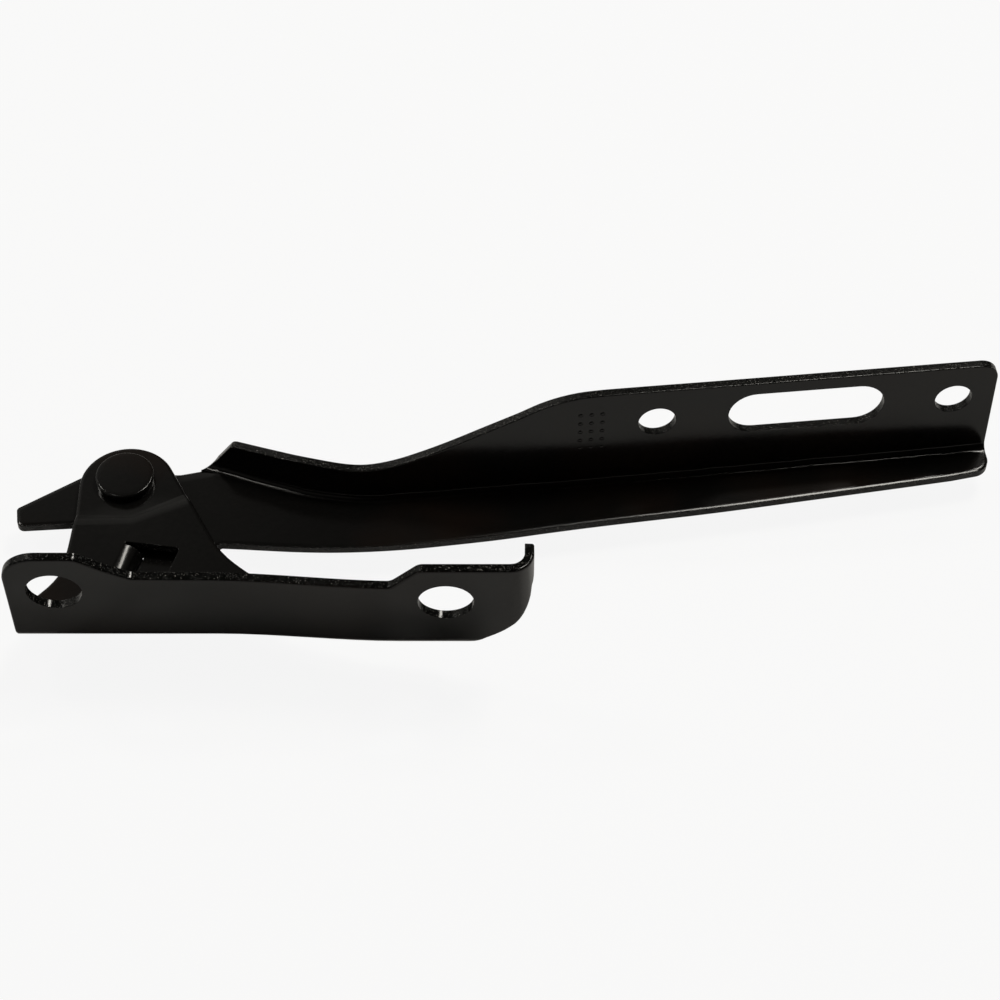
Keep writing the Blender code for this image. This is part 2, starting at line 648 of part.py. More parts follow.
def main():
    for obj in list(bpy.data.objects):
        bpy.data.objects.remove(obj, do_unlink=True)
    black = (0.02, 0.02, 0.021)
    liner_top = WEB_Z - SHEET_T - GAP
    add_object("base_bracket", bracket(), black, 0.0, 0.25)
    add_object("bonnet_arm", arm(), black, 0.0, 0.25)
    add_object("pivot_rivet", rivet(), black, 0.0, 0.25)
    add_object("pivot_bush", bush(), (0.45, 0.36, 0.16), 1.0, 0.4)
    add_object("rear_liner", disc(LINER_R, liner_top, LINER_T), (0.05, 0.05, 0.05), 0.0, 0.6)
    add_object("rear_washer", disc(WASHER_R, liner_top - LINER_T - GAP, WASHER_T), (0.4, 0.4, 0.4), 1.0, 0.4)


main()
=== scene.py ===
"""Looks of the bonnet hinge: rounded sheet edges, coated steel, studio light and the camera."""
import json
import math

import bpy
import numpy as np
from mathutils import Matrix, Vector
from mathutils.geometry import delaunay_2d_cdt


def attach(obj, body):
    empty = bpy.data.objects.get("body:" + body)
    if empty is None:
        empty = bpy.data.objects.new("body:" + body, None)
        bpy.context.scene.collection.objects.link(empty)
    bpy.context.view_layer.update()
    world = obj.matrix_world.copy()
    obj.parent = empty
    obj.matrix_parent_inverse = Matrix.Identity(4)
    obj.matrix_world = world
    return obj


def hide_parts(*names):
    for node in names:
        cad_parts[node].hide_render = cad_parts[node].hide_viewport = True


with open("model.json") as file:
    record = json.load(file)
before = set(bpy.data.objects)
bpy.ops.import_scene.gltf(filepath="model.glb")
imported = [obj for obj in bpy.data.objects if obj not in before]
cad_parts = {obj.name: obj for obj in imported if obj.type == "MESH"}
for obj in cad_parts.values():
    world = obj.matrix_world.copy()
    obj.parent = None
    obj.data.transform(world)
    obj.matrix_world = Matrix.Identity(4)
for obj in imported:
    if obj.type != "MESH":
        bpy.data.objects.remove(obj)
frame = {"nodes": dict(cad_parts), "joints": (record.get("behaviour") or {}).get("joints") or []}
PIVOT = np.array(frame["joints"][0]["pos_m"], float) * 1000.0

# Sizes in millimetres. The pivot axis is Z through X = 0, Y = 0 and the pivot pad's front is Z = 0.
SHEET_T = 2.6            # both stampings
GAP = 0.3                # between faces that touch on the real hinge

# Rolled edges
ROLL_WEB = 1.3           # width where the arm's web leans off to its edge
SOFT_SLOPE = 0.42        # its slope right at the edge
ROLL_FLANGE = 0.35       # the arm's flange
ROLL_UPRIGHT = 0.9       # the upright's front
ROLL_SEAT = 0.7          # the bracket flange's seat
ROLL_HIDDEN = 0.15       # the faces away from the punch
ROLL_HOLE = 0.12         # round the holes
RINGS = (0.02, 0.07, 0.14, 0.24, 0.38, 0.6, 0.9, 1.3)    # distances from the edge where the roll is cut
RINGS_AT_HOLES = 0.4     # the rings round holes stop here
LOBE_TOP = -20.0         # the arm's hidden lobe lies below this height

# Body bracket
BEND_R = 2.4             # inner radius of the long bend
SEAT_DROP = 56.07        # pivot axis to the seating face
SEAT_LEAN = 3.0          # degrees the seating flange leans forward
FLANGE_LEFT = 25.8       # left end of the flange, left of the pivot
EAR_H_LEFT = 37.9        # flange height at the left ear
EAR_H_RIGHT = 36.15      # flange height at the right ear
WAIST_H = 28.75          # flange height between the ears, left end
WAIST_H_RIGHT = 28.0     # and right end
WAIST_X0 = 9.6
WAIST_X1 = 80.9
EAR_END = -5.0           # right end of the left ear
EAR_START = 88.8         # left end of the right ear
EAR_R = 10.0             # outer corner of the left ear
EAR_BLEND = 5.0          # curves between the ears and the waist
EAR_BLEND_RIGHT = 3.0    # the same at the right ear
EAR_FALL = 0.45          # height of the point between the left ear and the waist, as a share
EAR_FALL_R = 9.0         # and its radius
SET_FORWARD = 2.63       # right half of the flange stands this much further forward
SET_X0 = 31.0
SET_X1 = 83.0
CURL_X = 113.8           # where the flange starts to curl back
CURL_R = 6.6             # outer radius of the curl
CURL_END = 4.0           # straight end after the curl
CURL_LOW = 32.2          # developed height of the curl's lower corner
CURL_TOP_R = 2.0         # corners of the curled end
CURL_LOW_R = 2.5
BOLT_R = 7.8             # bracket bolt holes
BOLT_LEFT = (-12.16, 22.6)
BOLT_RIGHT = (96.07, 21.2)
HUB_R = 14.1             # round top of the upright
HUB_DX = 0.5
PAD_STEP = 1.0           # the pivot pad is pressed back by this much
PAD_Y = -11.8            # lower edge of the pad
PAD_BLEND = 4.5          # width of the pressed step
PAD_SLOPE = 26.8         # degrees, right part of the pad's edge
PAD_KNEE = 2.65

# Stop tab, lanced from the upright and bent back
TAB_DIR = 253.0          # degrees, direction of its bend line
TAB_DIST = 8.8           # pivot axis to the bend line
TAB_R = 2.4              # inner radius of its bend
TAB_TOP = 21.6           # along the bend line from the pivot's foot
TAB_END = 34.2
TAB_LEN = 14.4           # flat length before bending
WINDOW_W = 15.8
WINDOW_TOP = 20.9
WINDOW_END = 35.6
WINDOW_SKEW = 2.5
TAB_CORNER = 1.5
WINDOW_CORNER = 1.0

# Bonnet arm
WEB_Z = -3.8             # front face of the arm's web
EDGE_ROLL = 0.7          # the web's upper edge is rolled back by this much beside the hub
EDGE_ROLL_W = 4.5        # width of the rolled edge
EDGE_ROLL_FADE = EDGE_ROLL_W * 0.7    # length over which it starts and ends
HUB_EDGE = ((15.4, 7.3), (21.6, 8.7))    # upper edge beside the hub
ARM_BEND_R = 2.4
ARM_LEAN = 1.0           # degrees the bonnet flange leans back
ARM_END = 256.9          # right end
ARM_TOP_Z = 31.9         # flange top at the right end
ARM_HUB_R = 12.4
ARM_HUB_START = 40.0     # degrees, right end of its round
NOSE_DIST = 10.9         # pivot axis to the nose's lower edge
NOSE_DIR = 4.0           # degrees
NOSE_TIP_X = -32.0
NOSE_TIP_Y = -6.2
NOSE_TIP_R = 1.5
NOSE_LOW_R = 2.2         # lower corner of the nose
NOSE_SLANT = 0.9         # its tip leans by this much
NOSE_ROOT_X = -11.6      # where the nose meets the stop notch
NOSE_ROOT_R = 1.5
NOTCH_R = 24.0           # round the pivot, clears the stop tab
LOBE_REACH = 27.7        # from the pivot's foot to the lobe's lower corner
LOBE_IN_R = 0.3
LOBE_OUT_R = 1.0
LOBE = [(13.0, -33.6, 8.0), (17.5, -36.0, 4.0), (24.6, -23.0, 5.0)]    # its lower edge, with corner radii
END_DROP = 6.6           # right end, from the crease to its lower corner
END_LOW_R = 5.0
END_TOP_R = 5.5
FLANGE_START = (31.2, 7.6)
FLANGE_START_R = 2.5
HUB_EDGE_R = 3.0
HUB_SIDE = (10.6, 6.4)   # hollow between the hub and its upper edge
HUB_SIDE_R = 4.0
ARM_BOLT_R = 5.5
ARM_BOLT_NEAR = (156.96, 20.58)
ARM_BOLT_FAR = (244.68, 18.96)
SLOT_R = 8.05
SLOT_A = (185.9, 20.45)
SLOT_B = (215.9, 19.95)

# Rivet
HEAD_R = 8.65
HEAD_TOP = 2.9           # face of the head above the pivot pad
HEAD_SHIFT = 1.35        # the head stands this far towards +Y of the axis
HEAD_EDGE = 0.7          # radius of its edge
HEAD_CROWN = ((0.0, 0.0), (0.45, 0.01), (0.8, 0.04))    # low crown: share of the radius, drop
HEAD_DROP = 0.06         # drop of the crown where the edge starts
HEAD_FOOT = ((0.0, 0.25), (0.08, 0.08), (0.25, 0.0))    # eased foot: inset, height
HEAD_SIDES = 128
SHANK_R = 5.0
SHANK_SIDES = 96
TAIL_R = 7.6
TAIL_H = 3.0
TAIL_EDGE = 1.2
TAIL_EASE = 0.2
TAIL_HOLLOW = ((2.2, 0.0), (1.6, 0.5), (0.0, 0.6))      # hollow in its end: radius, depth
TURN_STEP = 9            # degrees between points of a turned edge

# Hidden pieces on the pivot
BUSH_WALL = 1.2
LINER_T = 1.0
WASHER_T = 2.0

# Pips on the arm's flange
PIP_X = (134.4, 137.6, 140.8)
PIP_Z = (26.0, 22.4, 18.8, 15.2, 11.6)
PIP_Y = 4.151            # Y of the flange's face at the first pip
PIP_SLOPE = (0.1066, 0.0171)    # change of that Y along X and Z
PIP_R = 0.75
PIP_RISE = 0.3
PIP_SINK = 0.1
PIP_RINGS = 5
PIP_SIDES = 24

# Coat. Noises are scale and detail, bumps are strength and distance in metres
COAT_IOR = 1.38
COAT_ROUGH = (0.13, 0.2)
COAT_DARK = (0.0030, 0.0029, 0.0027)
COAT_LIGHT = (0.0048, 0.0045, 0.0042)
COAT_BROWN = (0.0085, 0.0052, 0.0036)
EDGE_DARK = (0.001, 0.001, 0.0009)
# colour of the light dots painted on the sheared edges as glints
EDGE_PAINTED_GLINT = (0.14, 0.135, 0.125)
EDGE_REACH = (0.02, 0.3)    # millimetres from the outline where the sheared edge's look fades
DUST_NOISE = (900.0, 3.0)
DUST_STOPS = (0.35, 0.75)
PATCH_NOISE = (26.0, 2.0)
PATCH_RANGE = ((0.46, 0.62), (0.0, 0.7))
SPECK_NOISE = (1500.0, 2.0)
SPECK_STOPS = (0.42, 0.72)
# noise and range that place the painted glints on the sheared edges
PAINTED_GLINT_NOISE = (2100.0, 1.0)
PAINTED_GLINT_RANGE = (0.66, 0.72)
SMEAR_NOISE = (45.0, 4.0)
PEEL_NOISE = (420.0, 2.0)
PEEL_BUMP = (0.06, 0.0002)
TORN_NOISE = (1300.0, 3.0)
TORN_RANGE = (0.57, 0.66)
TORN_BUMP = (0.7, 0.0002)
NO_EDGE = 5.0            # distance given to what has no sheared edge
SHARP_ANGLE = 38.0       # degrees

# Metal of the hidden pieces
METAL_DETAIL = 4.0
METAL_SHADES = (0.75, 1.15)
METAL_SPREAD = 0.08
METAL_BUMP = (0.15, 0.0001)

# Room. Its level is the product of three: by height, from front to back and from left to right,
# each as places from 0 to 1 with their levels
SKY_LOW = ((0.0, 0.12), (0.25, 0.2), (0.42, 0.4), (0.64, 0.4), (0.71, 0.3), (0.765, 0.2), (0.8, 0.11),
           (0.84, 0.04), (1.0, 0.03))
SKY_FRONT = ((0.3, 0.35), (0.6, 1.0))
SKY_SIDE = ((0.36, 1.0), (0.42, 0.66), (0.44, 0.52), (0.455, 0.35), (0.475, 0.1), (1.0, 0.1))
SKY_WARM = (1.03, 1.0, 0.93)
LAMP_COLOR = (1.0, 0.97, 0.9)
FLOOR_Z = -30.0
FLOOR_HALF = 4.0         # metres
FLOOR_ALBEDO = 0.68
FLOOR_GLOW = 0.9         # share of plain white that the camera sees
CAMERA_LENS = 95.292
CAMERA_PLACE = (111.0, -498.6, 605.3)    # from the pivot
CAMERA_DOWN = 50.87      # degrees below level

# Crease between the arm's web and flange, front faces
CREASE = [(27.3, 9.2), (33.4, 7.05), (39.5, 4.9), (45.6, 2.65), (50.0, 1.15), (55.0, -0.2), (60.7, -1.45),
          (65.4, -2.15), (71.0, -2.4), (78.5, -1.95), (87.4, -1.1), (96.3, -0.15), (105.2, 0.72),
          (117.1, 1.85), (128.0, 2.95), (141.0, 4.32), (171.0, 7.82), (201.1, 11.34), (231.5, 14.9),
          (ARM_END, 17.87)]
# Top edge of the arm's flange as X, Z
FLANGE_TOP = [(40.0, 8.1), (46.0, 8.6), (52.0, 8.9), (58.0, 8.9), (64.0, 8.65), (70.0, 8.5), (76.0, 9.1),
              (82.0, 10.6), (88.0, 12.8), (94.0, 15.3), (99.5, 17.9), (105.0, 20.7), (111.0, 23.7),
              (117.0, 26.7), (122.7, 29.8), (128.5, 32.0), (134.0, 33.2), (140.0, 33.6), (148.0, 33.6),
              (170.0, 33.2)]
# Lower edge of the arm's web
BELLY = [(29.5, -19.5), (35.0, -19.8), (41.0, -20.2), (52.4, -20.85), (64.0, -21.0), (75.8, -20.5),
         (87.0, -19.5), (96.3, -18.3), (111.0, -16.2), (125.0, -13.75), (140.5, -11.2), (155.3, -9.0),
         (170.2, -6.8), (185.2, -4.35), (200.2, -1.75), (215.3, 0.85), (230.4, 3.45), (246.0, 6.2)]
# Side of the upright where it spreads into the bend, right and left, as X, Y
FLARE_RIGHT = [(28.8, -23.9), (32.3, -28.1), (36.1, -31.6), (40.5, -35.1), (48.0, -40.2), (57.0, -44.9),
               (67.0, -48.6), (78.0, -51.0)]
FLARE_LEFT = [(-13.6, -12.0), (-14.1, -18.6), (-14.8, -26.7), (-16.4, -35.0), (-18.9, -38.9),
              (-21.8, -42.2), (-24.5, -45.6), (-25.6, -49.0)]
# Lower right corner of the flange, as developed X and height above the bend line
CORNER = [(96.0, -0.6), (100.0, 1.2), (104.0, 3.4), (108.3, 6.2), (111.2, 8.3), (113.9, 10.9),
          (116.2, 14.0), (118.5, 18.6), (119.8, 22.4), (120.4, 26.2)]

ARC_STEP = 6.0           # degrees between points on round edges
CURVE_STEP = 3.0         # millimetres between points on free curves
EDGE_STEP = 3.0          # longest side of an outline
BATCH = 4000             # points measured at a time
CUT = 46.0               # reach of the lines that cut the flat pattern into bands
SET_CUT = CUT / 6        # reach of the set's lines above the bend line
CURL_CUT = -1.0          # start of the curl's lines below it
BEND_BANDS = 5           # bands of each formed place
SET_BANDS = 8
CURL_BANDS = 6
PAD_BANDS = 3
TAB_BANDS = 4
HOLE_SIDES = 48
ARM_HOLE_SIDES = 40
SLOT_POINTS = 19         # points of each round end of the slot
FOLD_STEP = 1.0          # between points of the arm's fold path
FOLD_BEFORE = 90.0       # how far the path goes on past the crease, left
FOLD_AFTER = 20.0        # and right
FOLD_SKIP = 6            # every so many points of it carry a line
FOLD_LEAD = 0.12         # share of its first side that the lines cover
RIB_END = 150.0          # lines across the arm's flange stop at this X
HUB_LINES = 4            # lines along the rolled edge beside the hub
HUB_LINE_LOW = 0.13      # first of them, as a share of its width
HUB_LINE_PAST = 1.8      # how far they go on, as a share of its width
HUB_LINE_POINTS = 8


def smooth_line(points, step):
    """Points along a smooth curve through the given points."""
    p = np.array(points, float)
    chord = np.hypot(*(p[1:] - p[:-1]).T)
    s = np.concatenate(([0.0], np.cumsum(chord)))
    tangent = np.gradient(p, s, axis=0)
    out = []
    for i in range(len(p) - 1):
        count = max(1, int(math.ceil(chord[i] / step)))
        for k in range(count):
            x = k / count
            h = chord[i]
            a = 2 * x ** 3 - 3 * x ** 2 + 1
            b = x ** 3 - 2 * x ** 2 + x
            c = -2 * x ** 3 + 3 * x ** 2
            d = x ** 3 - x ** 2
            out.append(a * p[i] + b * h * tangent[i] + c * p[i + 1] + d * h * tangent[i + 1])
    out.append(p[-1])
    return np.array(out)


def rounded(corners):
    """Closed outline from (x, y, radius) corners; radius 0 keeps the point."""
    out = []
    count = len(corners)
    for i, (x, y, r) in enumerate(corners):
        p = np.array((x, y), float)
        if r <= 0:
            out.append(p)
            continue
        a = np.array(corners[i - 1][:2], float) - p
        b = np.array(corners[(i + 1) % count][:2], float) - p
        la, lb = np.hypot(*a), np.hypot(*b)
        a, b = a / la, b / lb
        angle = math.acos(max(-1.0, min(1.0, float(a @ b))))
        if angle > math.radians(178.0):
            out.append(p)
            continue
        setback = min(r / math.tan(angle / 2), 0.48 * la, 0.48 * lb)
        r = setback * math.tan(angle / 2)
        mid = (a + b) / np.hypot(*(a + b))
        centre = p + mid * r / math.sin(angle / 2)
        start, end = p + a * setback - centre, p + b * setback - centre
        a0 = math.atan2(start[1], start[0])
        turn = math.atan2(start[0] * end[1] - start[1] * end[0], float(start @ end))
        steps = max(2, int(math.ceil(abs(math.degrees(turn)) / ARC_STEP)))
        for k in range(steps + 1):
            t = a0 + turn * k / steps
            out.append(centre + r * np.array((math.cos(t), math.sin(t))))
    return np.array(out)


def ring(cx, cy, r, count):
    """Circle as a closed outline."""
    t = np.arange(count) * 2 * math.pi / count
    return np.column_stack((cx + r * np.cos(t), cy + r * np.sin(t)))


def arc(r, start, end):
    """Points on a circle round the pivot, angles in degrees."""
    count = max(2, int(math.ceil(abs(end - start) / ARC_STEP)))
    t = np.radians(np.linspace(start, end, count + 1))
    return np.column_stack((r * np.cos(t), r * np.sin(t)))


def plain(points):
    """Corners with no radius."""
    return [(float(x), float(y), 0.0) for x, y in points]


def inside(points, polygon):
    """Even-odd test of many points against one outline."""
    x, y = points[:, 0][:, None], points[:, 1][:, None]
    x0, y0 = polygon[:, 0][None], polygon[:, 1][None]
    x1, y1 = np.roll(polygon[:, 0], -1)[None], np.roll(polygon[:, 1], -1)[None]
    crosses = (y0 > y) != (y1 > y)
    height = np.where(y1 == y0, 1.0, y1 - y0)
    hit = crosses & (x < (x1 - x0) * (y - y0) / height + x0)
    return hit.sum(axis=1) % 2 == 1


def flat_mesh(outline, holes, lines):
    """Triangles of the flat pattern, cut along the given lines."""
    verts, edges = [], []
    for loop in [outline] + holes:
        first = len(verts)
        verts.extend(Vector((float(x), float(y))) for x, y in loop)
        edges.extend((first + i, first + (i + 1) % len(loop)) for i in range(len(loop)))
    for line in lines:
        first = len(verts)
        verts.extend(Vector((float(x), float(y))) for x, y in line)
        edges.extend((first + i, first + i + 1) for i in range(len(line) - 1))
    result = delaunay_2d_cdt(verts, edges, [], 0, 1e-5)
    points = np.array([(v.x, v.y) for v in result[0]])
    tris = np.array([f for f in result[2] if len(f) == 3])
    centre = points[tris].mean(axis=1)
    keep = inside(centre, outline)
    for hole in holes:
        keep &= ~inside(centre, hole)
    tris = tris[keep]
    used = np.unique(tris)
    index = np.full(len(points), -1)
    index[used] = np.arange(len(used))
    points, tris = points[used], index[tris]
    a, b, c = points[tris[:, 0]], points[tris[:, 1]], points[tris[:, 2]]
    area = (b[:, 0] - a[:, 0]) * (c[:, 1] - a[:, 1]) - (b[:, 1] - a[:, 1]) * (c[:, 0] - a[:, 0])
    tris[area < 0] = tris[area < 0][:, ::-1]
    return points, tris


def nearest_edge(points, loops):
    """Distance from each point to the nearest outline."""
    best = np.full(len(points), 1e9)
    for loop in loops:
        d = np.roll(loop, -1, axis=0) - loop
        length = np.maximum((d * d).sum(axis=1), 1e-12)
        for first in range(0, len(points), BATCH):
            p = points[first:first + BATCH]
            rel = p[:, None, :] - loop[None]
            t = np.clip((rel * d).sum(axis=2) / length, 0.0, 1.0)
            gap = rel - t[..., None] * d
            near = np.sqrt((gap ** 2).sum(axis=2).min(axis=1))
            best[first:first + BATCH] = np.minimum(best[first:first + BATCH], near)
    return best


def inset(loop, distance, solid_left):
    """Closed outline moved into the material."""
    before = loop - np.roll(loop, 1, axis=0)
    after = np.roll(loop, -1, axis=0) - loop
    before /= np.maximum(np.hypot(*before.T), 1e-9)[:, None]
    after /= np.maximum(np.hypot(*after.T), 1e-9)[:, None]
    n = np.column_stack((-(before + after)[:, 1], (before + after)[:, 0]))
    n /= np.maximum(np.hypot(*n.T), 1e-9)[:, None]
    miter = 1.0 / np.maximum(0.6, n[:, 0] * -after[:, 1] + n[:, 1] * after[:, 0])
    side = 1.0 if solid_left else -1.0
    return loop + side * n * (distance * miter)[:, None]


def loop_area(loop):
    """Signed area of a closed outline."""
    x, y = loop[:, 0], loop[:, 1]
    return 0.5 * float((x * np.roll(y, -1) - y * np.roll(x, -1)).sum())


def even(loop, step):
    """Closed outline with no side longer than the step."""
    out = []
    for p, q in zip(loop, np.roll(loop, -1, axis=0)):
        count = max(1, int(math.ceil(math.hypot(*(q - p)) / step)))
        out.extend(p + (q - p) * k / count for k in range(count))
    return np.array(out)


def round_depth(distance, radius):
    """Depth below the face at a distance from the edge."""
    d = np.clip(radius - distance, 0.0, radius)
    return radius - np.sqrt(np.maximum(radius * radius - d * d, 0.0))


def soft_depth(distance, width):
    """Depth below the face of an edge that only leans off, at a distance from the edge."""
    return 0.5 * SOFT_SLOPE / width * np.clip(width - distance, 0.0, width) ** 2


def roll_sizes(points, shape):
    """Radius of the rolled front and back edge round the outline, by place."""
    if shape is bracket_shape:
        flange = points[:, 1] < -BEND_LEN / 2
        front = np.where(flange, ROLL_HIDDEN, ROLL_UPRIGHT)
        back = np.where(flange, ROLL_SEAT, ROLL_HIDDEN)
    else:
        lobe = (points[:, 1] < LOBE_TOP) & (points[:, 0] < LOBE_REACH)
        bent = fold_frame(points)[2] > 0.0
        front = np.where(lobe, ROLL_HIDDEN, np.where(bent, ROLL_FLANGE, ROLL_WEB))
        back = np.full(len(points), ROLL_HIDDEN)
    return front, back


def sheet(outline, holes, lines, shape):
    """Closed sheet solid with rolled edges, then shaped."""
    outline = even(outline, EDGE_STEP)
    holes = [even(h, EDGE_STEP) for h in holes]
    rings = []
    for distance in RINGS:
        rings.append(inset(outline, distance, loop_area(outline) > 0))
        if distance <= RINGS_AT_HOLES:
            rings.extend(inset(h, distance, loop_area(h) < 0) for h in holes)
    closed = [np.vstack((r, r[:1])) for r in rings]
    points, tris = flat_mesh(outline, holes, closed + lines)
    count = len(points)
    outer = nearest_edge(points, [outline])
    inner = nearest_edge(points, holes)
    gap = np.minimum(outer, inner)
    gap[gap < 1e-4] = 0.0
    roll_front, roll_back = roll_sizes(points, shape)
    roll_front = np.where(outer < inner, roll_front, ROLL_HOLE)
    roll_back = np.where(outer < inner, roll_back, ROLL_HOLE)
    sunk = np.where(roll_front == ROLL_WEB, soft_depth(gap, ROLL_WEB), round_depth(gap, roll_front))
    front = shape(points, sunk)
    back = shape(points, SHEET_T - round_depth(gap, roll_back))
    faces = [tuple(t) for t in tris]
    faces += [tuple(count + i for i in t[::-1]) for t in tris]
    seen = set()
    for t in tris:
        for i in range(3):
            seen.add((int(t[i]), int(t[(i + 1) % 3])))
    for a, b in sorted(seen):
        if (b, a) not in seen:
            faces.append((b, a, a + count, b + count))
    edge = np.concatenate((gap, gap))
    return np.vstack((front, back)), faces, edge


def turned(profile, count):
    """Solid of revolution round the pivot axis from a closed (radius, z) profile."""
    verts, faces, rows = [], [], []
    for r, z in profile:
        if r < 1e-9:
            rows.append([len(verts)] * count)
            verts.append((0.0, 0.0, z))
            continue
        rows.append(list(range(len(verts), len(verts) + count)))
        for k in range(count):
            t = 2 * math.pi * k / count
            verts.append((r * math.cos(t), r * math.sin(t), z))
    for i, row in enumerate(rows):
        nxt = rows[(i + 1) % len(rows)]
        for k in range(count):
            m = (k + 1) % count
            face = []
            for v in (row[k], nxt[k], nxt[m], row[m]):
                if v not in face:
                    face.append(v)
            if len(face) > 2:
                faces.append(tuple(face))
    return np.array(verts), faces


BEND_ANGLE = math.radians(90.0 - SEAT_LEAN)
BEND_LEN = BEND_ANGLE * (BEND_R + SHEET_T / 2)
BEND_Z = PAD_STEP + BEND_R
LEAN_Z = BEND_Z - (BEND_R + SHEET_T) * math.cos(BEND_ANGLE)
BEND_Y = (-SEAT_DROP + (BEND_R + SHEET_T) * math.sin(BEND_ANGLE)
          - LEAN_Z * math.tan(math.radians(SEAT_LEAN)))
RISE = LEAN_Z / math.cos(math.radians(SEAT_LEAN)) - BEND_LEN
CURL_ARC = math.pi / 2 * (CURL_R - SHEET_T / 2)


def set_forward(x):
    """Shift of the bend and flange towards the front at X."""
    t = np.clip((np.asarray(x, float) - SET_X0) / (SET_X1 - SET_X0), 0.0, 1.0)
    return -SET_FORWARD * t * t * (3 - 2 * t)


def flange_point(x, height):
    """Flat pattern point of a point on the flange's front face."""
    return x, RISE - height


def upright_point(x, y):
    """Flat pattern point of a point on the upright."""
    return x, y - BEND_Y - float(set_forward(x))


def tab_frame():
    """Foot of the tab's bend line, its direction and the direction across it."""
    t = math.radians(TAB_DIR)
    along = np.array((math.cos(t), math.sin(t)))
    across = np.array((-along[1], along[0]))
    return TAB_DIST * across, along, across


def bracket_shape(points, depth):
    """Bracket surface at a depth below its front face."""
    u, t = points[:, 0], points[:, 1]
    shift = set_forward(u)
    y = t + BEND_Y + shift
    x = u.copy()
    slope = math.radians(PAD_SLOPE)
    below = np.maximum(PAD_Y - y, (PAD_Y + (x - PAD_KNEE) * math.tan(slope) - y) * math.cos(slope))
    step = 1.0 - (1.0 - np.clip(below / PAD_BLEND, 0.0, 1.0)) ** 2
    z = PAD_STEP * step - depth
    # Long bend and seating flange
    v = np.maximum(-t, 0.0)
    phi = np.minimum(v / (BEND_R + SHEET_T / 2), BEND_ANGLE)
    radius = BEND_R + depth
    rise = np.maximum(v - BEND_LEN, 0.0)
    bent = t < 0
    front = BEND_Y + shift - (BEND_R + SHEET_T) * np.sin(phi) - rise * math.cos(BEND_ANGLE)
    y = np.where(bent, BEND_Y + shift - radius * np.sin(phi) - rise * math.cos(BEND_ANGLE), y)
    z = np.where(bent, BEND_Z - radius * np.cos(phi) + rise * math.sin(BEND_ANGLE), z)
    # Curl at the right end
    psi = np.clip((u - CURL_X) / (CURL_R - SHEET_T / 2), 0.0, math.pi / 2)
    past = np.maximum(u - CURL_X - CURL_ARC, 0.0)
    curl = (u > CURL_X) & bent
    rho = CURL_R - (y - front)
    x = np.where(curl, CURL_X + rho * np.sin(psi), x)
    y = np.where(curl, front + CURL_R - rho * np.cos(psi) + past, y)
    # Stop tab
    foot, along, across = tab_frame()
    flat = np.column_stack((x, y)) - foot
    a, b = flat @ across, flat @ along
    tab = (~bent) & (a > 1e-6) & (a < TAB_LEN + 1e-3) & (b > TAB_TOP - 1e-3) & (b < TAB_END + 1e-3)
    theta = np.minimum(a / (TAB_R + SHEET_T / 2), math.pi / 2)
    reach = TAB_R + SHEET_T - depth
    drop = np.maximum(a - math.pi / 2 * (TAB_R + SHEET_T / 2), 0.0)
    moved = foot + (reach * np.sin(theta))[:, None] * across + b[:, None] * along
    x = np.where(tab, moved[:, 0], x)
    y = np.where(tab, moved[:, 1], y)
    z = np.where(tab, PAD_STEP - SHEET_T - TAB_R + reach * np.cos(theta) - drop, z)
    return np.column_stack((x, y, z))


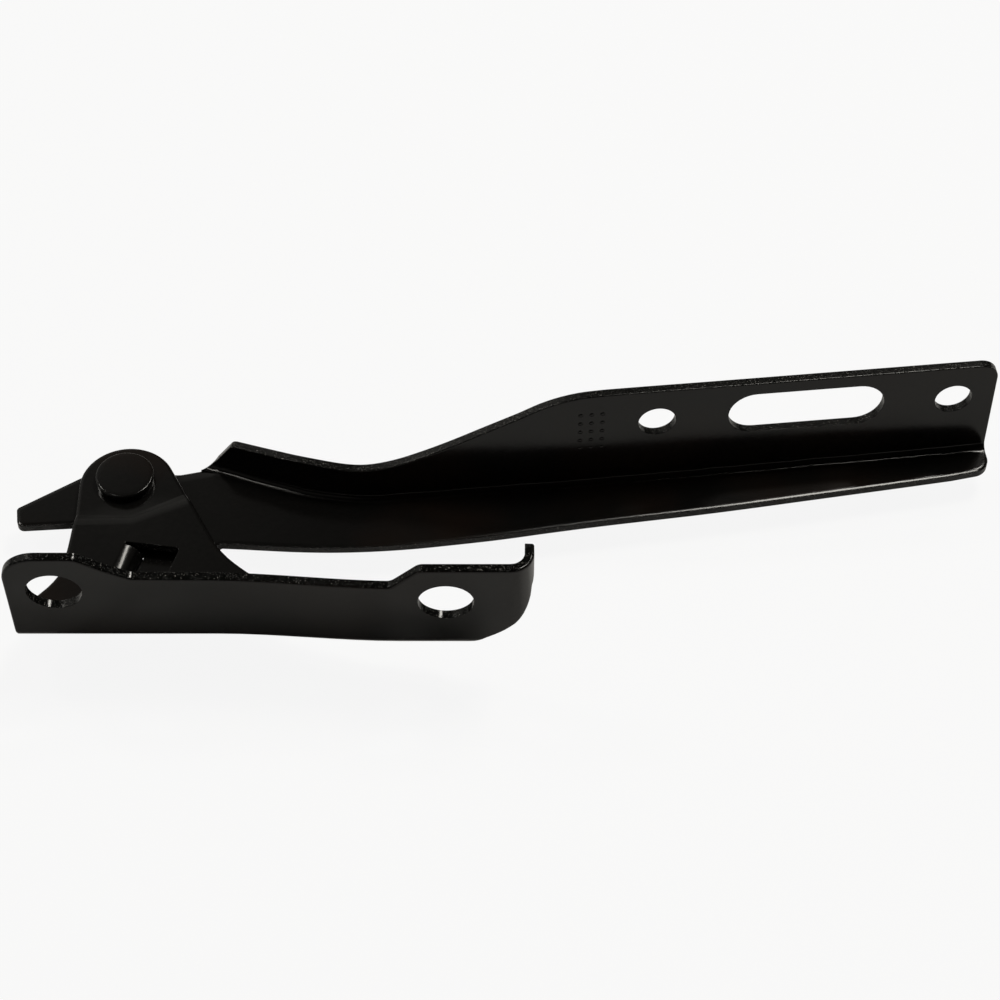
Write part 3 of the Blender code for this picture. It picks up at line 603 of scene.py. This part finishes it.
def bracket():
    """Body bracket: upright with pivot pad and stop tab, long bend, seating flange."""
    corners = [(*flange_point(-FLANGE_LEFT, EAR_H_LEFT), EAR_R),
               (*flange_point(EAR_END, EAR_H_LEFT), EAR_BLEND),
               (*flange_point((EAR_END + WAIST_X0) / 2, EAR_FALL * EAR_H_LEFT + (1 - EAR_FALL) * WAIST_H),
                EAR_FALL_R),
               (*flange_point(WAIST_X0, WAIST_H), EAR_BLEND),
               (*flange_point(WAIST_X1, WAIST_H_RIGHT), EAR_BLEND_RIGHT),
               (*flange_point(EAR_START, EAR_H_RIGHT), EAR_BLEND_RIGHT)]
    curl_end = CURL_X + CURL_ARC + CURL_END
    corners += [(*flange_point(curl_end, EAR_H_RIGHT), CURL_TOP_R), (curl_end, -CURL_LOW, CURL_LOW_R)]
    corners += plain((x, -h) for x, h in smooth_line(CORNER[::-1], CURVE_STEP))
    flare = smooth_line(FLARE_RIGHT[::-1], CURVE_STEP)
    corners += plain([upright_point(x, y) for x, y in flare])
    # Straight side up to the round top
    x0, y0 = FLARE_RIGHT[0]
    dx, dy = x0 - HUB_DX, y0
    far = math.hypot(dx, dy)
    touch = math.degrees(math.atan2(dy, dx) + math.acos(HUB_R / far))
    top = arc(HUB_R, touch, 180.0) + np.array((HUB_DX, 0.0))
    corners += plain([upright_point(x, y) for x, y in top])
    flare = smooth_line(FLARE_LEFT, CURVE_STEP)
    corners += plain([upright_point(x, y) for x, y in flare])
    corners.append((-FLANGE_LEFT, 0.6, 0.0))
    outline = rounded(corners)

    foot, along, across = tab_frame()

    def at(a, b):
        x, y = foot + a * across + b * along
        return upright_point(x, y)

    skew = WINDOW_SKEW / WINDOW_W
    cut = [(*at(0.0, WINDOW_TOP), 0.0), (*at(0.0, TAB_TOP), 0.0), (*at(TAB_LEN, TAB_TOP), TAB_CORNER),
           (*at(TAB_LEN, TAB_END - skew * TAB_LEN), TAB_CORNER), (*at(0.0, TAB_END), 0.0),
           (*at(0.0, WINDOW_END), 0.0), (*at(WINDOW_W, WINDOW_END - WINDOW_SKEW), WINDOW_CORNER),
           (*at(WINDOW_W, WINDOW_TOP - WINDOW_SKEW), WINDOW_CORNER)]
    holes = [rounded(cut), ring(0.0, -BEND_Y, SHANK_R + GAP, HOLE_SIDES),
             ring(*flange_point(*BOLT_LEFT), BOLT_R, HOLE_SIDES),
             ring(*flange_point(*BOLT_RIGHT), BOLT_R, HOLE_SIDES)]

    lines = []
    right = curl_end + CURL_R
    for k in range(BEND_BANDS + 1):
        t = -BEND_LEN * k / BEND_BANDS
        lines.append([(-CUT, t), (right, t)])
    for k in range(SET_BANDS + 1):
        x = SET_X0 + (SET_X1 - SET_X0) * k / SET_BANDS
        lines.append([(x, SET_CUT), (x, -CUT)])
    for k in range(CURL_BANDS + 1):
        x = CURL_X + CURL_ARC * k / CURL_BANDS
        lines.append([(x, CURL_CUT), (x, -CUT)])
    slope = math.tan(math.radians(PAD_SLOPE))
    for k in range(PAD_BANDS + 1):
        low = PAD_BLEND * k / PAD_BANDS
        y = PAD_Y - low
        knee = PAD_KNEE + low * math.tan(math.radians(PAD_SLOPE / 2))
        ends = [(-CUT, y), (knee, y), (knee + CUT, y + CUT * slope)]
        lines.append([upright_point(*p) if p[0] < SET_X0 else (p[0], p[1] - BEND_Y) for p in ends])
    bend = math.pi / 2 * (TAB_R + SHEET_T / 2)
    for k in range(TAB_BANDS + 1):
        a = bend * k / TAB_BANDS
        top = (TAB_TOP + WINDOW_TOP) / 2 if k else TAB_TOP
        low = TAB_END - skew * a + (GAP if k else 0.0)
        lines.append([at(a, top), at(a, low)])
    return sheet(outline, holes, lines, bracket_shape)


ARM_ANGLE = math.radians(90.0 - ARM_LEAN)
ARM_BEND_LEN = ARM_ANGLE * (ARM_BEND_R + SHEET_T / 2)


def fold_path():
    """Where the arm's web starts to bend: points, unit normals towards the flange."""
    line = smooth_line(CREASE, FOLD_STEP)
    first = line[0] - line[1]
    last = line[-1] - line[-2]
    line = np.vstack((line[0] + first / np.hypot(*first) * FOLD_BEFORE, line, line[-1] + last * FOLD_AFTER))
    tangent = np.gradient(line, axis=0)
    tangent[1], tangent[-2] = line[2] - line[1], line[-2] - line[-3]
    tangent /= np.hypot(*tangent.T)[:, None]
    normal = np.column_stack((-tangent[:, 1], tangent[:, 0]))
    return line - normal * ARM_BEND_R * math.tan(ARM_ANGLE / 2), normal


FOLD, FOLD_N = fold_path()


def fold_frame(points):
    """Nearest place on the fold path for each flat point: foot, normal and signed distance."""
    a, b = FOLD[:-1], FOLD[1:]
    d = b - a
    rel = points[:, None, :] - a[None]
    t = np.clip((rel * d).sum(axis=2) / (d * d).sum(axis=1), 0.0, 1.0)
    near = a[None] + t[..., None] * d
    gap = points[:, None, :] - near
    best = np.argmin((gap ** 2).sum(axis=2), axis=1)
    row = np.arange(len(points))
    share = t[row, best][:, None]
    normal = FOLD_N[best] * (1 - share) + FOLD_N[best + 1] * share
    normal /= np.hypot(*normal.T)[:, None]
    foot = near[row, best]
    return foot, normal, ((points - foot) * normal).sum(axis=1)


def arm_shape(points, depth):
    """Arm surface at a depth below its front face."""
    foot, normal, d = fold_frame(points)
    phi = np.clip(d / (ARM_BEND_R + SHEET_T / 2), 0.0, ARM_ANGLE)
    rise = np.maximum(d - ARM_BEND_LEN, 0.0)
    radius = ARM_BEND_R + depth
    out = radius * np.sin(phi) + rise * math.cos(ARM_ANGLE)
    up = WEB_Z + ARM_BEND_R - radius * np.cos(phi) + rise * math.sin(ARM_ANGLE)
    folded = foot + out[:, None] * normal
    bent = d > 0
    x = np.where(bent, folded[:, 0], points[:, 0])
    y = np.where(bent, folded[:, 1], points[:, 1])
    # Rolled upper edge beside the hub
    (ax, ay), (bx, by) = HUB_EDGE
    below = ay + (points[:, 0] - ax) * (by - ay) / (bx - ax) - points[:, 1]
    share = np.clip(1.0 - below / EDGE_ROLL_W, 0.0, 1.0) ** 2
    reach = np.clip((points[:, 0] - ax) / EDGE_ROLL_FADE + 1.0, 0.0, 1.0)
    reach *= np.clip((bx - points[:, 0]) / EDGE_ROLL_FADE + 2.0, 0.0, 1.0)
    z = np.where(bent, up, WEB_Z - depth - EDGE_ROLL * share * reach)
    return np.column_stack((x, y, z))


def wall_point(x, z):
    """Flat pattern point of a point on the arm flange's front face."""
    base = FOLD + FOLD_N * ARM_BEND_R
    i = int(np.clip(np.searchsorted(base[:, 0], x) - 1, 0, len(FOLD) - 2))
    t = (x - base[i, 0]) / (base[i + 1, 0] - base[i, 0])
    foot = FOLD[i] * (1 - t) + FOLD[i + 1] * t
    normal = FOLD_N[i] * (1 - t) + FOLD_N[i + 1] * t
    normal /= np.hypot(*normal)
    low = WEB_Z + ARM_BEND_R * (1 - math.cos(ARM_ANGLE))
    d = ARM_BEND_LEN + (z - low) / math.sin(ARM_ANGLE)
    return foot + d * normal


def arm():
    """Bonnet arm: web with hub, nose and stop notch, bent flange with bolt holes and slot."""
    t = math.radians(NOSE_DIR)

    def nose_y(x):
        return (x * math.sin(t) - NOSE_DIST) / math.cos(t)

    root = NOSE_ROOT_X
    foot, along, across = tab_frame()
    stop = foot + (TAB_R + SHEET_T + GAP) * across
    reach = math.sqrt(NOTCH_R ** 2 - float(stop @ stop))
    lobe_in = stop + reach * along
    lobe_out = stop + LOBE_REACH * along
    start = math.degrees(math.atan2(-math.sqrt(NOTCH_R ** 2 - root ** 2), root))
    end = math.degrees(math.atan2(lobe_in[1], lobe_in[0]))
    low_x = NOSE_TIP_X + NOSE_SLANT
    corners = [(low_x, nose_y(low_x), NOSE_LOW_R), (root, nose_y(root), NOSE_ROOT_R)]
    corners += plain(arc(NOTCH_R, start, end)[:-1])
    corners += [(lobe_in[0], lobe_in[1], LOBE_IN_R), (lobe_out[0], lobe_out[1], LOBE_OUT_R)] + LOBE
    corners += plain(smooth_line(BELLY, CURVE_STEP))
    low_end = wall_point(ARM_END, 0.0)
    end_low = FOLD[-2] - END_DROP * FOLD_N[-2]
    corners.append((end_low[0], end_low[1], END_LOW_R))
    corners.append((float(low_end[0]), float(low_end[1]), 0.0))
    corners.append((*wall_point(ARM_END, ARM_TOP_Z), END_TOP_R))
    top = smooth_line(FLANGE_TOP[::-1], CURVE_STEP)
    corners += plain([wall_point(x, z) for x, z in top])
    corners.append((*wall_point(*FLANGE_START), FLANGE_START_R))
    corners += [(*HUB_EDGE[1], HUB_EDGE_R), (*HUB_EDGE[0], 0.0), (*HUB_SIDE, HUB_SIDE_R)]
    # Round hub and straight upper edge of the nose, tangent to it
    tip = np.array((NOSE_TIP_X, NOSE_TIP_Y))
    far = math.hypot(*tip)
    touch = math.degrees(math.atan2(tip[1], tip[0]) - math.acos(ARM_HUB_R / far)) % 360.0
    corners += plain(arc(ARM_HUB_R, ARM_HUB_START, touch))
    corners.append((tip[0], tip[1], NOSE_TIP_R))
    outline = rounded(corners)

    holes = [ring(0.0, 0.0, SHANK_R + 2 * GAP + BUSH_WALL, HOLE_SIDES)]
    for x, z in (ARM_BOLT_NEAR, ARM_BOLT_FAR):
        holes.append(ring(*wall_point(x, z), ARM_BOLT_R, ARM_HOLE_SIDES))
    a, b = wall_point(*SLOT_A), wall_point(*SLOT_B)
    turn = math.atan2(*(b - a)[::-1])
    half = np.linspace(math.pi / 2, 3 * math.pi / 2, SLOT_POINTS)
    left = [a + SLOT_R * np.array((math.cos(turn + s), math.sin(turn + s))) for s in half]
    right = [b - SLOT_R * np.array((math.cos(turn + s), math.sin(turn + s))) for s in half]
    holes.append(np.array(left + right))

    lines = []
    inner = np.arange(len(FOLD))[1:-1:FOLD_SKIP]
    for k in range(BEND_BANDS + 1):
        d = ARM_BEND_LEN * k / BEND_BANDS
        near = FOLD[inner] + FOLD_N[inner] * d
        first = FOLD[1] + FOLD_N[1] * d + (FOLD[0] - FOLD[1]) * FOLD_LEAD
        last = FOLD[-1] + FOLD_N[-1] * d
        lines.append(np.vstack((first, near, last)))
    for i in inner:
        if FOLD[i, 0] < RIB_END:
            lines.append([FOLD[i], FOLD[i] + FOLD_N[i] * CUT])
    (ax, ay), (bx, by) = HUB_EDGE
    slope = (by - ay) / (bx - ax)
    for k in range(HUB_LINES):
        low = EDGE_ROLL_W * (k / HUB_LINES + HUB_LINE_LOW)
        spread = np.linspace(ax - EDGE_ROLL_FADE, bx + EDGE_ROLL_W * HUB_LINE_PAST, HUB_LINE_POINTS)
        lines.append([(x, ay + (x - ax) * slope - low) for x in spread])
    return sheet(outline, holes, lines, arm_shape)


def rivet_shape():
    """The rivet: shank and formed tail on the pivot axis, low round head shifted towards +Y."""
    base = GAP / 10
    head = [(HEAD_R * share, HEAD_TOP - drop) for share, drop in HEAD_CROWN]
    for t in range(0, 91, TURN_STEP):
        s = math.radians(t)
        head.append((HEAD_R - HEAD_EDGE * (1 - math.sin(s)), HEAD_TOP - HEAD_DROP - HEAD_EDGE * (1 - math.cos(s))))
    head += [(HEAD_R - inset_by, base + height) for inset_by, height in HEAD_FOOT] + [(0.0, base)]
    tail = WEB_Z - SHEET_T - GAP - LINER_T - GAP - WASHER_T - GAP / 10
    low = tail - TAIL_H
    shank = [(0.0, base + GAP), (SHANK_R, base + GAP), (SHANK_R, tail), (TAIL_R - TAIL_EASE, tail),
             (TAIL_R, tail - TAIL_EASE)]
    for t in range(0, 91, TURN_STEP):
        s = math.radians(t)
        shank.append((TAIL_R - TAIL_EDGE * (1 - math.cos(s)), low + TAIL_EDGE * (1 - math.sin(s))))
    shank += [(r, low + depth) for r, depth in TAIL_HOLLOW]
    verts, faces = turned(head, HEAD_SIDES)
    verts = verts + np.array((0.0, HEAD_SHIFT, 0.0))
    more, more_faces = turned(shank, SHANK_SIDES)
    faces = faces + [tuple(v + len(verts) for v in f) for f in more_faces]
    return np.vstack((verts, more)), faces


def pips():
    """Columns of plain raised pips on the arm's flange, in the place of the stamped marks."""
    verts, faces = [], []
    for x0 in PIP_X:
        for z0 in PIP_Z:
            first = len(verts)
            y0 = PIP_Y + PIP_SLOPE[0] * (x0 - PIP_X[0]) + PIP_SLOPE[1] * (z0 - PIP_Z[0])
            for k in range(PIP_RINGS):
                t = 0.5 * math.pi * k / PIP_RINGS
                for i in range(PIP_SIDES):
                    a = 2.0 * math.pi * i / PIP_SIDES
                    x, z = PIP_R * math.cos(a) * math.cos(t), PIP_R * math.sin(a) * math.cos(t)
                    y = PIP_SLOPE[0] * x + PIP_SLOPE[1] * z + PIP_SINK - (PIP_RISE + PIP_SINK) * math.sin(t)
                    verts.append((x0 + x, y0 + y, z0 + z))
            top, low = len(verts), len(verts) + 1
            verts += [(x0, y0 - PIP_RISE, z0), (x0, y0 + PIP_SINK, z0)]
            last = first + (PIP_RINGS - 1) * PIP_SIDES
            for i in range(PIP_SIDES):
                j = (i + 1) % PIP_SIDES
                for k in range(PIP_RINGS - 1):
                    a, b = first + k * PIP_SIDES, first + (k + 1) * PIP_SIDES
                    faces.append((a + i, a + j, b + j, b + i))
                faces.append((last + i, last + j, top))
                faces.append((first + j, first + i, low))
    return np.array(verts), faces


def arm_with_pips():
    """The arm's sheet and its pips as one piece."""
    verts, faces, edge = arm()
    more, more_faces = pips()
    faces = faces + [tuple(v + len(verts) for v in f) for f in more_faces]
    return np.vstack((verts, more)), faces, np.concatenate((edge, np.full(len(more), NO_EDGE)))


def new_material(name):
    """Empty node material with its shader."""
    material = bpy.data.materials.new(name)
    material.use_nodes = True
    nodes = material.node_tree.nodes
    return material, nodes, material.node_tree.links, nodes["Principled BSDF"]


def noise_of(nodes, links, coords, scale, detail):
    """Noise in the piece's own coordinates."""
    noise = nodes.new("ShaderNodeTexNoise")
    noise.inputs["Scale"].default_value = scale
    noise.inputs["Detail"].default_value = detail
    links.new(coords.outputs["Object"], noise.inputs["Vector"])
    return noise.outputs["Fac"]


def range_of(nodes, links, source, spread, result=(0.0, 1.0)):
    """A socket's value taken from one range to another."""
    node = nodes.new("ShaderNodeMapRange")
    node.inputs["From Min"].default_value, node.inputs["From Max"].default_value = spread
    node.inputs["To Min"].default_value, node.inputs["To Max"].default_value = result
    links.new(source, node.inputs["Value"])
    return node.outputs["Result"]


def ramp_of(nodes, links, source, stops):
    """Colour by the value of a socket, from stops of a place and a grey level or a colour."""
    ramp = nodes.new("ShaderNodeValToRGB")
    elements = ramp.color_ramp.elements
    elements.remove(elements[1])
    for i, (place, level) in enumerate(stops):
        stop = elements.new(place) if i else elements[0]
        stop.position = place
        stop.color = (*(level if isinstance(level, tuple) else (level,) * 3), 1.0)
    links.new(source, ramp.inputs["Fac"])
    return ramp.outputs["Color"]


def blend_of(nodes, links, factor, first, second):
    """Colour between a first socket and a second socket or colour, by a factor."""
    mix = nodes.new("ShaderNodeMix")
    mix.data_type = "RGBA"
    links.new(factor, mix.inputs["Factor"])
    links.new(first, mix.inputs["A"])
    if isinstance(second, tuple):
        mix.inputs["B"].default_value = (*second, 1.0)
    else:
        links.new(second, mix.inputs["B"])
    return mix.outputs["Result"]


def bump_of(nodes, links, height, strength, distance):
    """Bump node with its height linked."""
    bump = nodes.new("ShaderNodeBump")
    bump.inputs["Strength"].default_value = strength
    bump.inputs["Distance"].default_value = distance
    links.new(height, bump.inputs["Height"])
    return bump


def math_of(nodes, links, operation, first, second=0.0):
    """Result of a math node for sockets or numbers."""
    node = nodes.new("ShaderNodeMath")
    node.operation = operation
    for i, value in enumerate((first, second)):
        if isinstance(value, float):
            node.inputs[i].default_value = value
        else:
            links.new(value, node.inputs[i])
    return node.outputs["Value"]


def coat_material(name, edge_rough, edge_light):
    """Glossy black electrocoat with dust, brown patches and orange peel; sheared edges speckled and dotted with
    painted glints.
    """
    material, nodes, links, shader = new_material(name)
    coords = nodes.new("ShaderNodeTexCoord")
    shader.inputs["IOR"].default_value = COAT_IOR
    shader.inputs["Metallic"].default_value = 0.0
    rim = nodes.new("ShaderNodeAttribute")
    rim.attribute_name = "rim"
    wall = range_of(nodes, links, rim.outputs["Fac"], EDGE_REACH, (1.0, 0.0))

    # Colour of the faces and of the sheared edge, with painted glints as light dots on the edge
    dust = noise_of(nodes, links, coords, *DUST_NOISE)
    face = ramp_of(nodes, links, dust, zip(DUST_STOPS, (COAT_DARK, COAT_LIGHT)))
    patch = noise_of(nodes, links, coords, *PATCH_NOISE)
    face = blend_of(nodes, links, range_of(nodes, links, patch, *PATCH_RANGE), face, COAT_BROWN)
    specks = noise_of(nodes, links, coords, *SPECK_NOISE)
    edge = ramp_of(nodes, links, specks, zip(SPECK_STOPS, (EDGE_DARK, edge_light)))
    # painted glints: sparse light dots in the edge's colour stand in for highlights
    glint_spots = noise_of(nodes, links, coords, *PAINTED_GLINT_NOISE)
    edge = blend_of(nodes, links, range_of(nodes, links, glint_spots, PAINTED_GLINT_RANGE), edge, EDGE_PAINTED_GLINT)
    links.new(blend_of(nodes, links, wall, face, edge), shader.inputs["Base Color"])

    # Roughness
    smear = noise_of(nodes, links, coords, *SMEAR_NOISE)
    rough = nodes.new("ShaderNodeMix")
    rough.inputs["B"].default_value = edge_rough
    links.new(wall, rough.inputs["Factor"])
    links.new(range_of(nodes, links, smear, (0.0, 1.0), COAT_ROUGH), rough.inputs["A"])
    links.new(rough.outputs["Result"], shader.inputs["Roughness"])

    # Bump: orange peel everywhere, torn grain on the edges
    peel = bump_of(nodes, links, noise_of(nodes, links, coords, *PEEL_NOISE), *PEEL_BUMP)
    torn = range_of(nodes, links, noise_of(nodes, links, coords, *TORN_NOISE), TORN_RANGE)
    grain = bump_of(nodes, links, math_of(nodes, links, "MULTIPLY", torn, wall), *TORN_BUMP)
    links.new(peel.outputs["Normal"], grain.inputs["Normal"])
    links.new(grain.outputs["Normal"], shader.inputs["Normal"])
    return material


def metal_material(name, color, metallic, roughness, scale):
    """Plain metal or polymer with fine grain."""
    material, nodes, links, shader = new_material(name)
    coords = nodes.new("ShaderNodeTexCoord")
    grain = noise_of(nodes, links, coords, scale, METAL_DETAIL)
    low, high = (tuple(c * share for c in color) for share in METAL_SHADES)
    links.new(ramp_of(nodes, links, grain, ((0.0, low), (1.0, high))), shader.inputs["Base Color"])
    shader.inputs["Metallic"].default_value = metallic
    spread = (roughness - METAL_SPREAD, roughness + METAL_SPREAD)
    links.new(range_of(nodes, links, grain, (0.0, 1.0), spread), shader.inputs["Roughness"])
    links.new(bump_of(nodes, links, grain, *METAL_BUMP).outputs["Normal"], shader.inputs["Normal"])
    return material


def add_piece(name, data, material, body, node):
    """Visible piece that stands for one node of the model and moves with its body."""
    verts, faces = data[0], data[1]
    mesh = bpy.data.meshes.new(name)
    mesh.from_pydata([tuple(v) for v in (verts + PIVOT) * 0.001], [], faces)
    mesh.update()
    rim = mesh.attributes.new("rim", "FLOAT", "POINT")
    values = data[2] if len(data) > 2 else np.full(len(verts), NO_EDGE)
    rim.data.foreach_set("value", values.astype(np.float32))
    mesh.materials.append(material)
    for polygon in mesh.polygons:
        polygon.use_smooth = True
    mesh.set_sharp_from_angle(angle=math.radians(SHARP_ANGLE))
    obj = bpy.data.objects.new(name, mesh)
    bpy.context.scene.collection.objects.link(obj)
    weighted = obj.modifiers.new("normals", "WEIGHTED_NORMAL")
    weighted.keep_sharp = True
    weighted.weight = 100
    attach(obj, body)
    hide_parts(node)
    return obj


def add_light(name, place, target, size, power, size_y=None):
    """Area light at a place in millimetres, aimed at a target."""
    data = bpy.data.lights.new(name, "AREA")
    data.energy = power
    data.color = LAMP_COLOR
    data.size = size * 0.001
    if size_y:
        data.shape = "RECTANGLE"
        data.size_y = size_y * 0.001
    obj = bpy.data.objects.new(name, data)
    bpy.context.scene.collection.objects.link(obj)
    obj.location = Vector(place) * 0.001
    aim = Vector(target) * 0.001 - obj.location
    obj.rotation_euler = aim.to_track_quat("-Z", "Y").to_euler()
    return obj


def add_world():
    """White to the camera; to everything else a dim warm room, brightest behind on the left."""
    world = bpy.data.worlds.new("studio")
    bpy.context.scene.world = world
    world.use_nodes = True
    nodes, links = world.node_tree.nodes, world.node_tree.links

    def combine(operation, first, second=0.0):
        return math_of(nodes, links, operation, first, second)

    def share(value):
        return combine("MULTIPLY", combine("ADD", value, 1.0), 0.5)

    coords = nodes.new("ShaderNodeTexCoord")
    split = nodes.new("ShaderNodeSeparateXYZ")
    links.new(coords.outputs["Generated"], split.inputs["Vector"])
    x, y, z = split.outputs["X"], split.outputs["Y"], split.outputs["Z"]
    flat = combine("SQRT", combine("ADD", combine("MULTIPLY", x, x), combine("MULTIPLY", y, y)))
    side = combine("DIVIDE", x, combine("MAXIMUM", flat, 0.001))
    level = combine("MULTIPLY", ramp_of(nodes, links, z, SKY_LOW), ramp_of(nodes, links, share(y), SKY_FRONT))
    level = combine("MULTIPLY", level, ramp_of(nodes, links, share(side), SKY_SIDE))
    warm = nodes.new("ShaderNodeMix")
    warm.data_type = "RGBA"
    warm.blend_type = "MULTIPLY"
    warm.inputs["Factor"].default_value = 1.0
    warm.inputs["B"].default_value = (*SKY_WARM, 1.0)
    links.new(level, warm.inputs["A"])
    path = nodes.new("ShaderNodeLightPath")
    color = blend_of(nodes, links, path.outputs["Is Camera Ray"], warm.outputs["Result"], (1.0, 1.0, 1.0))
    links.new(color, nodes["Background"].inputs["Color"])


def add_floor():
    """Pale floor under the hinge that keeps a faint shadow."""
    mesh = bpy.data.meshes.new("floor")
    half, z = FLOOR_HALF, FLOOR_Z * 0.001
    mesh.from_pydata([(-half, -half, z), (half, -half, z), (half, half, z), (-half, half, z)],
                     [], [(0, 1, 2, 3)])
    obj = bpy.data.objects.new("floor", mesh)
    bpy.context.scene.collection.objects.link(obj)
    material, nodes, links, shader = new_material("floor")
    shader.inputs["Base Color"].default_value = (FLOOR_ALBEDO, FLOOR_ALBEDO, FLOOR_ALBEDO, 1.0)
    shader.inputs["Roughness"].default_value = 0.9
    shader.inputs["Specular IOR Level"].default_value = 0.0
    path = nodes.new("ShaderNodeLightPath")
    glow = nodes.new("ShaderNodeEmission")
    glow.inputs["Strength"].default_value = 1.0
    share = math_of(nodes, links, "MULTIPLY", path.outputs["Is Camera Ray"], FLOOR_GLOW)
    mix = nodes.new("ShaderNodeMixShader")
    links.new(share, mix.inputs["Fac"])
    links.new(shader.outputs["BSDF"], mix.inputs[1])
    links.new(glow.outputs["Emission"], mix.inputs[2])
    links.new(mix.outputs["Shader"], nodes["Material Output"].inputs["Surface"])
    mesh.materials.append(material)
    return obj


def add_camera():
    """Camera at the photograph's place and angle."""
    data = bpy.data.cameras.new("camera")
    data.sensor_width = 36.0
    data.lens = CAMERA_LENS
    data.clip_start = 0.01
    obj = bpy.data.objects.new("camera", data)
    bpy.context.scene.collection.objects.link(obj)
    obj.location = tuple((np.array(CAMERA_PLACE) + PIVOT) * 0.001)
    obj.rotation_euler = (math.radians(90.0 - CAMERA_DOWN), 0.0, 0.0)
    bpy.context.scene.camera = obj


bpy.context.scene.view_settings.view_transform = "Standard"
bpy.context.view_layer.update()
coat = coat_material("black_coat", 0.12, (0.004, 0.004, 0.0036))
arm_coat = coat_material("black_coat_arm", 0.2, (0.014, 0.014, 0.013))
add_piece("bracket_skin", bracket(), coat, "bracket", "base_bracket")
add_piece("arm_skin", arm_with_pips(), arm_coat, "arm", "bonnet_arm")
add_piece("rivet_skin", rivet_shape(), coat, "bracket", "pivot_rivet")
small = {"pivot_bush": metal_material("bush_bronze", (0.45, 0.36, 0.16), 1.0, 0.4, 500.0),
         "rear_liner": metal_material("liner_polymer", (0.05, 0.05, 0.05), 0.0, 0.6, 300.0),
         "rear_washer": metal_material("washer_zinc", (0.4, 0.4, 0.4), 1.0, 0.4, 700.0)}
for node, material in small.items():
    mesh = frame["nodes"][node].data
    mesh.materials.clear()
    mesh.materials.append(material)
add_light("key_box", (430.0, 290.0, 1000.0), (120.0, 0.0, 0.0), 260.0, 5.0, size_y=260.0)
add_light("right_box", (990.0, 1500.0, 2400.0), (60.0, 0.0, 0.0), 450.0, 11.0, size_y=300.0)
add_light("left_box", (-600.0, 500.0, 920.0), (60.0, 0.0, 0.0), 160.0, 1.8)
add_light("top_box", (-340.0, 60.0, 960.0), (0.0, 0.0, 0.0), 110.0, 0.5)
add_world()
add_floor()
add_camera()
